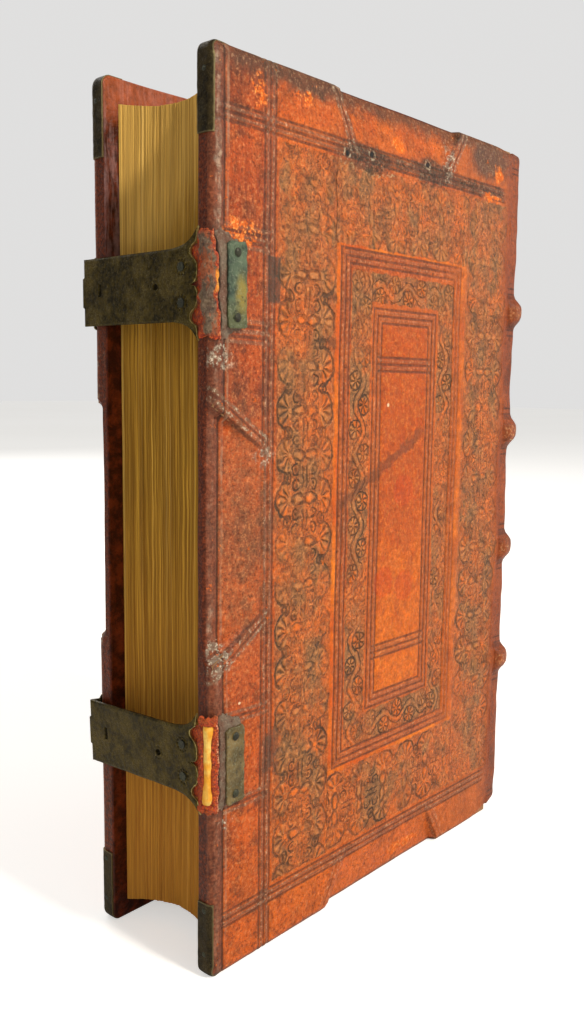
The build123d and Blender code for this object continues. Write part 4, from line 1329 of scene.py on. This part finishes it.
def old_metal(name, dark, light, bloom, rough, size, bright, marked=False):
    """Old brass: a dark mottled patina, rubbed brighter on its edges and crossed by fine scratches.

    On a marked piece the UV map says where the metal is engraved and where its border is, and painted glints are
    added round the rims of the engraved marks.
    """
    material, shader, s, place = new_material(name)
    broad, fine = s.patina(place, size)
    scratches = s.use(scratch_group, Place=place)["Scratches"]
    speck = s.ramp(s.noise(place, 0.8, 5.0, 0.75), 0.54, 0.68)
    pit = s.ramp(s.noise(s.stretch(place, -1.0, 1.0, 1.0), 1.2, 4.0, 0.7), 0.42, 0.34)
    colour = s.mix(broad * 0.8, paint(*dark), paint(*light))
    colour = s.mix(fine * 0.25, colour, paint(*bloom))
    colour = s.mix(speck * 0.35, colour, paint(*bloom))
    colour = s.mix(pit * 0.5, colour, paint(22, 20, 12))
    if marked:
        engraved, border = s.unwrapped()
        hollow = s.ramp(engraved, 0.25, 0.8)
        rubbed = s.ramp(border + (fine - 0.5) * 0.5, 0.35, 0.9)
        # Painted glints: pale specks on the rims of the engraved marks, joined to the rubbed border
        painted_glints = s.ramp(abs(engraved - 0.16), 0.1, 0.02) * speck
        rubbed = s.most(rubbed * 0.8, painted_glints * 0.6)
    else:
        pointed = Number(s, s.node("ShaderNodeNewGeometry").outputs["Pointiness"])
        rubbed = s.ramp(pointed, 0.53, 0.60) * 0.7
        hollow = s.ramp(pointed, 0.47, 0.42)
    colour = s.mix(hollow * 0.75, colour, paint(16, 14, 8))
    colour = s.mix(s.most(rubbed, scratches * 0.35), colour, paint(*bright))
    bump = fine * 0.04 + speck * 0.05 - pit * 0.06 - scratches * 0.03
    finish(s, shader, colour, rough + fine * 0.14 - rubbed * 0.12, bump, 0.80 + rubbed * 0.15 - speck * 0.15)
    return material


def nail_iron():
    """Dark worn heads of nails and rivets, dull and pitted, with a few pale grains painted as glints."""
    material, shader, s, place = new_material("nail_metal")
    broad, fine = s.patina(place, 2.5)
    colour = s.mix(broad, paint(34, 34, 24), paint(58, 60, 44))
    # Painted glints: a few small pale grains on the dark heads
    colour = s.mix(s.ramp(s.noise(place, 0.5, 4.0, 0.7), 0.58, 0.68) * 0.6, colour, paint(142, 138, 108))
    finish(s, shader, colour, 0.46 + fine * 0.2, fine * 0.05, 0.35 + broad * 0.2)
    return material


def anchor_metal():
    """Green-grey brass of the anchor plates, with an ochre patch where the green has gone."""
    material, shader, s, place = new_material("green_brass")
    x, y, z = s.split(place)
    broad, fine = s.patina(place, 7.0)
    speck = s.ramp(s.noise(place, 0.9, 5.0, 0.75), 0.50, 0.66)
    pit = s.ramp(s.noise(s.stretch(place, -1.0, 1.0, 1.0), 1.6, 4.0, 0.7), 0.46, 0.36)
    warp = s.noise(place, 3.0, 4.0) - 0.5
    upper = s.ramp(z, 120.0, 200.0)
    green = s.mix(broad, paint(48, 66, 50), paint(88, 104, 78))
    olive = s.mix(broad, paint(88, 74, 38), paint(126, 106, 62))
    colour = s.mix(upper, olive, green)
    colour = s.mix(s.ramp(z + warp * 8, 241.0, 234.0) * upper * 0.7, colour, paint(92, 94, 54))
    patch = spot(s, x + warp * 3, z + warp * 6, 11.0, 241.0, 2.6, 6.0, 0.6)
    colour = s.mix(patch * 0.8, colour, paint(150, 128, 42))
    colour = s.mix(speck * 0.45, colour, paint(142, 150, 124))
    colour = s.mix(pit * 0.6, colour, paint(34, 38, 30))
    bump = fine * 0.05 + speck * 0.06 - pit * 0.08
    finish(s, shader, colour, 0.48 + fine * 0.18, bump, 0.35 - fine * 0.15)
    return material


def page_paper():
    """Old paper seen on its edges: fine lines of leaves, darker gatherings, darker towards the front cover (partly
    grime, partly painted shadow), and painted light at the head towards the rear cover.
    """
    material, shader, s, place = new_material("page_paper")
    x, y, z = s.split(place)
    leaf_place = s.stretch(place, 0.004, 1.0, 0.004)
    leaves = s.noise(leaf_place, 0.42, 3.0, 0.75)
    gather = s.noise(s.stretch(place, 0.002, 1.0, 0.002), 1.5, 3.0, 0.6)
    lines = s.ramp(leaves, 0.36, 0.64)
    cloud = s.noise(place, 30.0, 3.0, 0.6)
    worn = s.ramp(s.noise(s.stretch(place, 0.3, 2.0, 0.3), 3.0, 2.0, 0.7), 0.40, 0.62)
    colour = s.mix(lines, paint(132, 90, 18), paint(214, 162, 58))
    colour = s.mix(s.ramp(gather, 0.60, 0.44) * 0.35, colour, paint(130, 92, 34))
    colour = s.mix(s.ramp(gather, 0.56, 0.70) * 0.35, colour, paint(238, 200, 118))
    gaps = s.ramp(s.noise(leaf_place, 0.5, 2.0, 0.6), 0.62, 0.70) * (0.4 + 0.6 * worn)
    colour = s.mix(gaps * 0.6, colour, paint(64, 40, 10))
    colour = s.mix(s.ramp(cloud, 0.45, 0.75) * 0.30, colour, paint(152, 118, 48))
    # Partly grime, partly painted shadow: the leaf edges darker towards the front cover
    colour = s.mix(s.ramp(y, -6.0, -23.0) * 0.35, colour, paint(110, 88, 30))
    colour = s.mix(s.ramp(z, 190.0, 20.0) * 0.40, colour, paint(206, 128, 50))
    # Painted light: the leaf edges paler towards the head, reaching further down towards the rear cover, where the
    # light falls past the front cover
    painted_head_light = s.ramp(z + y * 1.1 + cloud * 30, 278.0, 306.0)
    colour = s.mix(painted_head_light * (0.25 + 0.35 * lines), colour, paint(232, 190, 104))
    face = s.ramp(abs(y), HALF - COVER - 0.5, HALF - COVER - 0.35) * s.ramp(x, 7.2, 8.0)
    face = face * s.ramp(z, PAGE_TAIL + 0.2, PAGE_TAIL + 0.6) * s.ramp(z, PAGE_HEAD - 0.2, PAGE_HEAD - 0.6)
    foxing = s.ramp(s.noise(place, 4.5, 4.0, 0.7), 0.60, 0.72)
    leaf_colour = s.mix(s.noise(place, 45.0, 5.0), paint(204, 178, 126), paint(176, 144, 92))
    leaf_colour = s.mix(foxing * 0.35, leaf_colour, paint(146, 98, 52))
    rim = s.ramp(s.least(s.least(x - 6, PAGE_HEAD - z), z - PAGE_TAIL) + cloud * 6, 12.0, 2.0)
    leaf_colour = s.mix(rim * 0.5, leaf_colour, paint(140, 104, 58))
    colour = s.mix(face, colour, leaf_colour)
    height = (lines * 0.14 + gather * 0.25) * (1 - face)
    finish(s, shader, colour, 0.78 + lines * 0.08, height)
    shader.inputs["Specular IOR Level"].default_value = 0.2
    return material


def lining_paper():
    """The paper pasted inside the covers: browned at its rim, foxed, cockled a little."""
    material, shader, s, place = new_material("lining_paper")
    x, y, z = s.split(place)
    cloud = s.noise(place, 38.0, 5.0)
    rim = s.ramp(s.least(s.least(x - TURN_IN, HEIGHT - TURN_IN - z), z - TURN_IN) + cloud * 12, 16.0, 3.0)
    foxing = s.ramp(s.noise(place, 4.0, 4.0, 0.7), 0.60, 0.74)
    colour = s.mix(cloud, paint(206, 184, 138), paint(170, 138, 92))
    colour = s.mix(rim * 0.6, colour, paint(132, 92, 50))
    colour = s.mix(foxing * 0.4, colour, paint(140, 92, 52))
    fibres = s.noise(s.stretch(place, 1.0, 1.0, 0.5), 0.8, 4.0)
    finish(s, shader, colour, 0.82 + foxing * 0.05, fibres * 0.05 + cloud * 0.4)
    return material


def plain_wood():
    """Old oak: long grain up the board, pores and darker rings."""
    material, shader, s, place = new_material("old_oak")
    rings = s.noise(s.stretch(place, 1.0, 1.0, 0.05), 5.0, 4.0, 0.6)
    pores = s.noise(s.stretch(place, 1.0, 1.0, 0.04), 0.5, 3.0, 0.7)
    colour = s.mix(rings, paint(122, 84, 48), paint(168, 126, 80))
    colour = s.mix(s.ramp(pores, 0.58, 0.7) * 0.6, colour, paint(74, 48, 26))
    finish(s, shader, colour, 0.66 + pores * 0.1, pores * 0.12)
    return material


def cord_fibre():
    """Linen and tawed cord: pale twisted fibres."""
    material, shader, s, place = new_material("linen_cord")
    twist = s.noise(s.stretch(place, 1.0, 2.2, 2.2), 0.9, 4.0)
    colour = s.mix(twist, paint(150, 122, 82), paint(206, 184, 142))
    finish(s, shader, colour, 0.8 + twist * 0.1, twist * 0.3)
    return material


def band_thread():
    """Endband thread in two faded colours, wound in groups."""
    material, shader, s, place = new_material("endband_thread")
    turns = s.math("FRACT", s.unwrapped()[0] * (10 / 6.9))
    blue = s.ramp(turns, 0.49, 0.51)
    fibre = s.noise(place, 0.5, 4.0)
    colour = s.mix(blue, paint(196, 168, 118), paint(92, 78, 62))
    colour = s.mix(fibre * 0.5, colour, paint(128, 98, 60))
    finish(s, shader, colour, 0.8 + fibre * 0.1, fibre * 0.12)
    return material


# ---------------------------------------------------------------- the book

leather = cover_leather()
upper_leather = strap_leather("upper_strap_leather", False)
lower_leather = strap_leather("lower_strap_leather", True)
clasp_brass = old_metal("clasp_brass", (36, 29, 4), (70, 57, 12), (128, 108, 42), 0.42, 9.0, (178, 160, 96))
marked_brass = old_metal("marked_brass", (34, 28, 3), (72, 58, 12), (134, 112, 44), 0.40, 9.0,
                         (186, 168, 104), True)
guard_brass = old_metal("guard_brass", (30, 24, 10), (58, 47, 24), (104, 88, 52), 0.5, 6.0, (140, 126, 88))
nail_metal = nail_iron()
green_brass = anchor_metal()
paper = page_paper()
lining = lining_paper()
wood = plain_wood()
cord = cord_fibre()
thread = band_thread()

front_skin = cover_skin("front_skin", -1, leather)
rear_skin = cover_skin("rear_skin", 1, leather)
hinge_z = HEIGHT / 2
for skin, cover, side in ((front_skin, "front_cover", -1), (rear_skin, "rear_cover", 1)):
    start = at(JOINT - 1.6, side * HALF, hinge_z)
    end = at(JOINT + 1.4, side * HALF, hinge_z)
    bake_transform(skin)
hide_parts("front_leather", "spine_leather")
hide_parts("rear_leather")

pages = page_block(paper)
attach(pages, "book_block")
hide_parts("text_block")

for end_name in ("head", "tail"):
    roll = endband_roll(f"{end_name}_endband", end_name == "head", thread)
    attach(roll, "book_block")
    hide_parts(f"{end_name}_endband")
    for cover, side in (("front", -1), ("rear", 1)):
        guard = corner_guard(f"{cover}_{end_name}_corner", side, end_name == "head", guard_brass)
        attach(guard, f"{cover}_cover")
        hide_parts(f"{cover}_{end_name}_guard")

ON_COVER = [(13.0, -33.7), (9.0, -33.7), (5.5, -33.75), (3.0, -33.9)]
UPPER_PATH = ON_COVER + [(1.0, -33.9), (-0.9, -33.4), (-2.3, -32.2), (-2.9, -30.6), (-3.0, -29.0), (-2.7, -27.2),
                         (-2.45, -25.0), (-2.42, -15.2)]
LOWER_PATH = ON_COVER + [(1.0, -34.0), (-0.9, -33.6), (-2.4, -32.5), (-3.1, -31.0), (-3.2, -29.6), (-2.9, -27.8),
                         (-2.45, -25.8), (-2.42, -16.0)]
STRAPS = (("upper", UPPER_CLASP, UPPER_PATH, 71, upper_leather, False),
          ("lower", LOWER_CLASP, LOWER_PATH, 81, lower_leather, True))
for name, middle, path_points, seed, strap_skin, split in STRAPS:
    strap = strap_piece(f"{name}_strap_skin", middle, 17.2, path_points, seed, strap_skin, split)
    pivot = joints[f"{name}_clasp_hinge"]["pos_m"]
    start = (pivot[0], pivot[1] - 1.3 * MM, pivot[2])
    end = (pivot[0], pivot[1] + 0.9 * MM, pivot[2])
    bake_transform(strap)
    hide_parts(f"{name}_strap", f"{name}_strap_end")
core = strap_core("lower_core_strip", LOWER_CLASP, LOWER_PATH, core_lining())
pivot = joints["lower_clasp_hinge"]["pos_m"]
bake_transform(core)
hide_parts("lower_strap_core")

for name, middle, tilt in (("upper", UPPER_CLASP, 0.0), ("lower", LOWER_CLASP, LOWER_TILT)):
    plate = clasp_plate(f"{name}_clasp_plate", middle, tilt, RIVET_MARKS, marked_brass)
    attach(plate, f"{name}_clasp")
    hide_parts(f"{name}_clasp_plate")

for name in ("upper", "lower"):
    low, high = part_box(f"{name}_anchor_plate")
    nail_x = (low.x + high.x) / 2 / MM - FORE_X / MM
    dents = [(nail_x, low.z / MM + 3.5), (nail_x, high.z / MM - 3.5)]
    plate = flat_plate(f"{name}_anchor_strip", f"{name}_anchor_plate", 91, green_brass, dents)
    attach(plate, "front_cover")
    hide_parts(f"{name}_anchor_plate")
    plate = flat_plate(f"{name}_catch_strip", f"{name}_catch_plate", 95, clasp_brass)
    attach(plate, "rear_cover")
    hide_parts(f"{name}_catch_plate")

FINISHES = {
    "front_board": wood, "rear_board": wood, "front_pegs": wood, "rear_pegs": wood,
    "front_slips": cord, "rear_slips": cord,
    "front_pastedown": lining, "rear_pastedown": lining,
    "front_edge_nails": nail_metal, "rear_edge_nails": nail_metal, "anchor_nails": nail_metal,
    "catch_nails": nail_metal, "upper_clasp_rivets": nail_metal, "lower_clasp_rivets": nail_metal,
    "upper_clasp_backing": clasp_brass, "lower_clasp_backing": clasp_brass,
}
for number in range(1, 5):
    FINISHES[f"sewing_support_{number}"] = cord
for node, material in FINISHES.items():
    nodes[node].material_slots[0].material = material

# ---------------------------------------------------------------- floor, light and camera


def stage_floor():
    """A wide plain pale floor."""
    reach = 9.0
    floor = make_piece("floor", [np.array([[[-reach, -reach, 0], [reach, -reach, 0]],
                                           [[-reach, reach, 0], [reach, reach, 0]]])])
    material, shader, s, place = new_material("pale_floor")
    cloud = s.noise(place, 900.0, 2.0)
    pale = s.mix(cloud, paint(232, 231, 228), paint(238, 237, 235))
    finish(s, shader, pale, 0.8 + cloud * 0.05)
    seen = s.node("ShaderNodeLightPath").outputs["Is Camera Ray"]
    s.tree.links.new(s.mix(seen, (0, 0, 0, 1), pale), shader.inputs["Emission Color"])
    shader.inputs["Emission Strength"].default_value = 0.62
    floor.data.materials.append(material)


def area_light(name, place, target, size, power, colour=(1, 1, 1)):
    """A square soft light that faces a point."""
    data = bpy.data.lights.new(name, "AREA")
    data.size = size
    data.energy = power
    data.color = colour
    lamp = bpy.data.objects.new(name, data)
    lamp.matrix_world = Matrix.Translation(Vector(place)) @ (
        (Vector(target) - Vector(place)).to_track_quat("-Z", "Y").to_matrix().to_4x4())
    bpy.context.scene.collection.objects.link(lamp)


stage_floor()
book_middle = (0.0, 0.0, HEIGHT * MM / 2)
area_light("key", (0.10, -1.75, 1.70), book_middle, 0.30, 46.0, (1.0, 0.94, 0.85))
area_light("fill", (-1.70, -0.60, 0.80), book_middle, 1.4, 6.0, (1.0, 0.96, 0.88))
area_light("right", (1.50, -1.10, 0.60), book_middle, 0.9, 7.0, (1.0, 0.97, 0.94))
area_light("back", (0.40, 1.80, 1.30), book_middle, 1.4, 20.0, (1.0, 0.97, 0.94))

world = bpy.data.worlds.new("pale_room")
world.use_nodes = True
sky = Shade(world.node_tree)
seen = sky.node("ShaderNodeLightPath").outputs["Is Camera Ray"]
room = world.node_tree.nodes["Background"]
glow, backdrop = (0.29, 0.285, 0.28, 1), (0.745, 0.74, 0.735, 1)
world.node_tree.links.new(sky.mix(seen, glow, backdrop), room.inputs["Color"])
room.inputs["Strength"].default_value = 1.0
bpy.context.scene.world = world
bpy.context.scene.view_settings.view_transform = "Standard"

CAMERA_PLACE = Vector((-0.32004, -0.26150, 0.21179))
CAMERA_YAW = 0.7293990
CAMERA_PITCH = 0.1327543
CAMERA_ROLL = 0.0124798
camera_data = bpy.data.cameras.new("view")
camera_data.lens = 33.435
camera_data.sensor_width = 36.0
camera_data.sensor_fit = "AUTO"
camera_data.clip_start = 0.01
camera = bpy.data.objects.new("view", camera_data)
heading = Vector((math.cos(CAMERA_PITCH) * math.cos(CAMERA_YAW),
                  math.cos(CAMERA_PITCH) * math.sin(CAMERA_YAW),
                  -math.sin(CAMERA_PITCH)))
level_right = heading.cross(Vector((0, 0, 1))).normalized()
level_up = level_right.cross(heading)
right = level_right * math.cos(CAMERA_ROLL) + level_up * math.sin(CAMERA_ROLL)
up = level_up * math.cos(CAMERA_ROLL) - level_right * math.sin(CAMERA_ROLL)
camera.matrix_world = Matrix.Translation(CAMERA_PLACE) @ Matrix((right, up, -heading)).transposed().to_4x4()
bpy.context.scene.collection.objects.link(camera)
bpy.context.scene.camera = camera
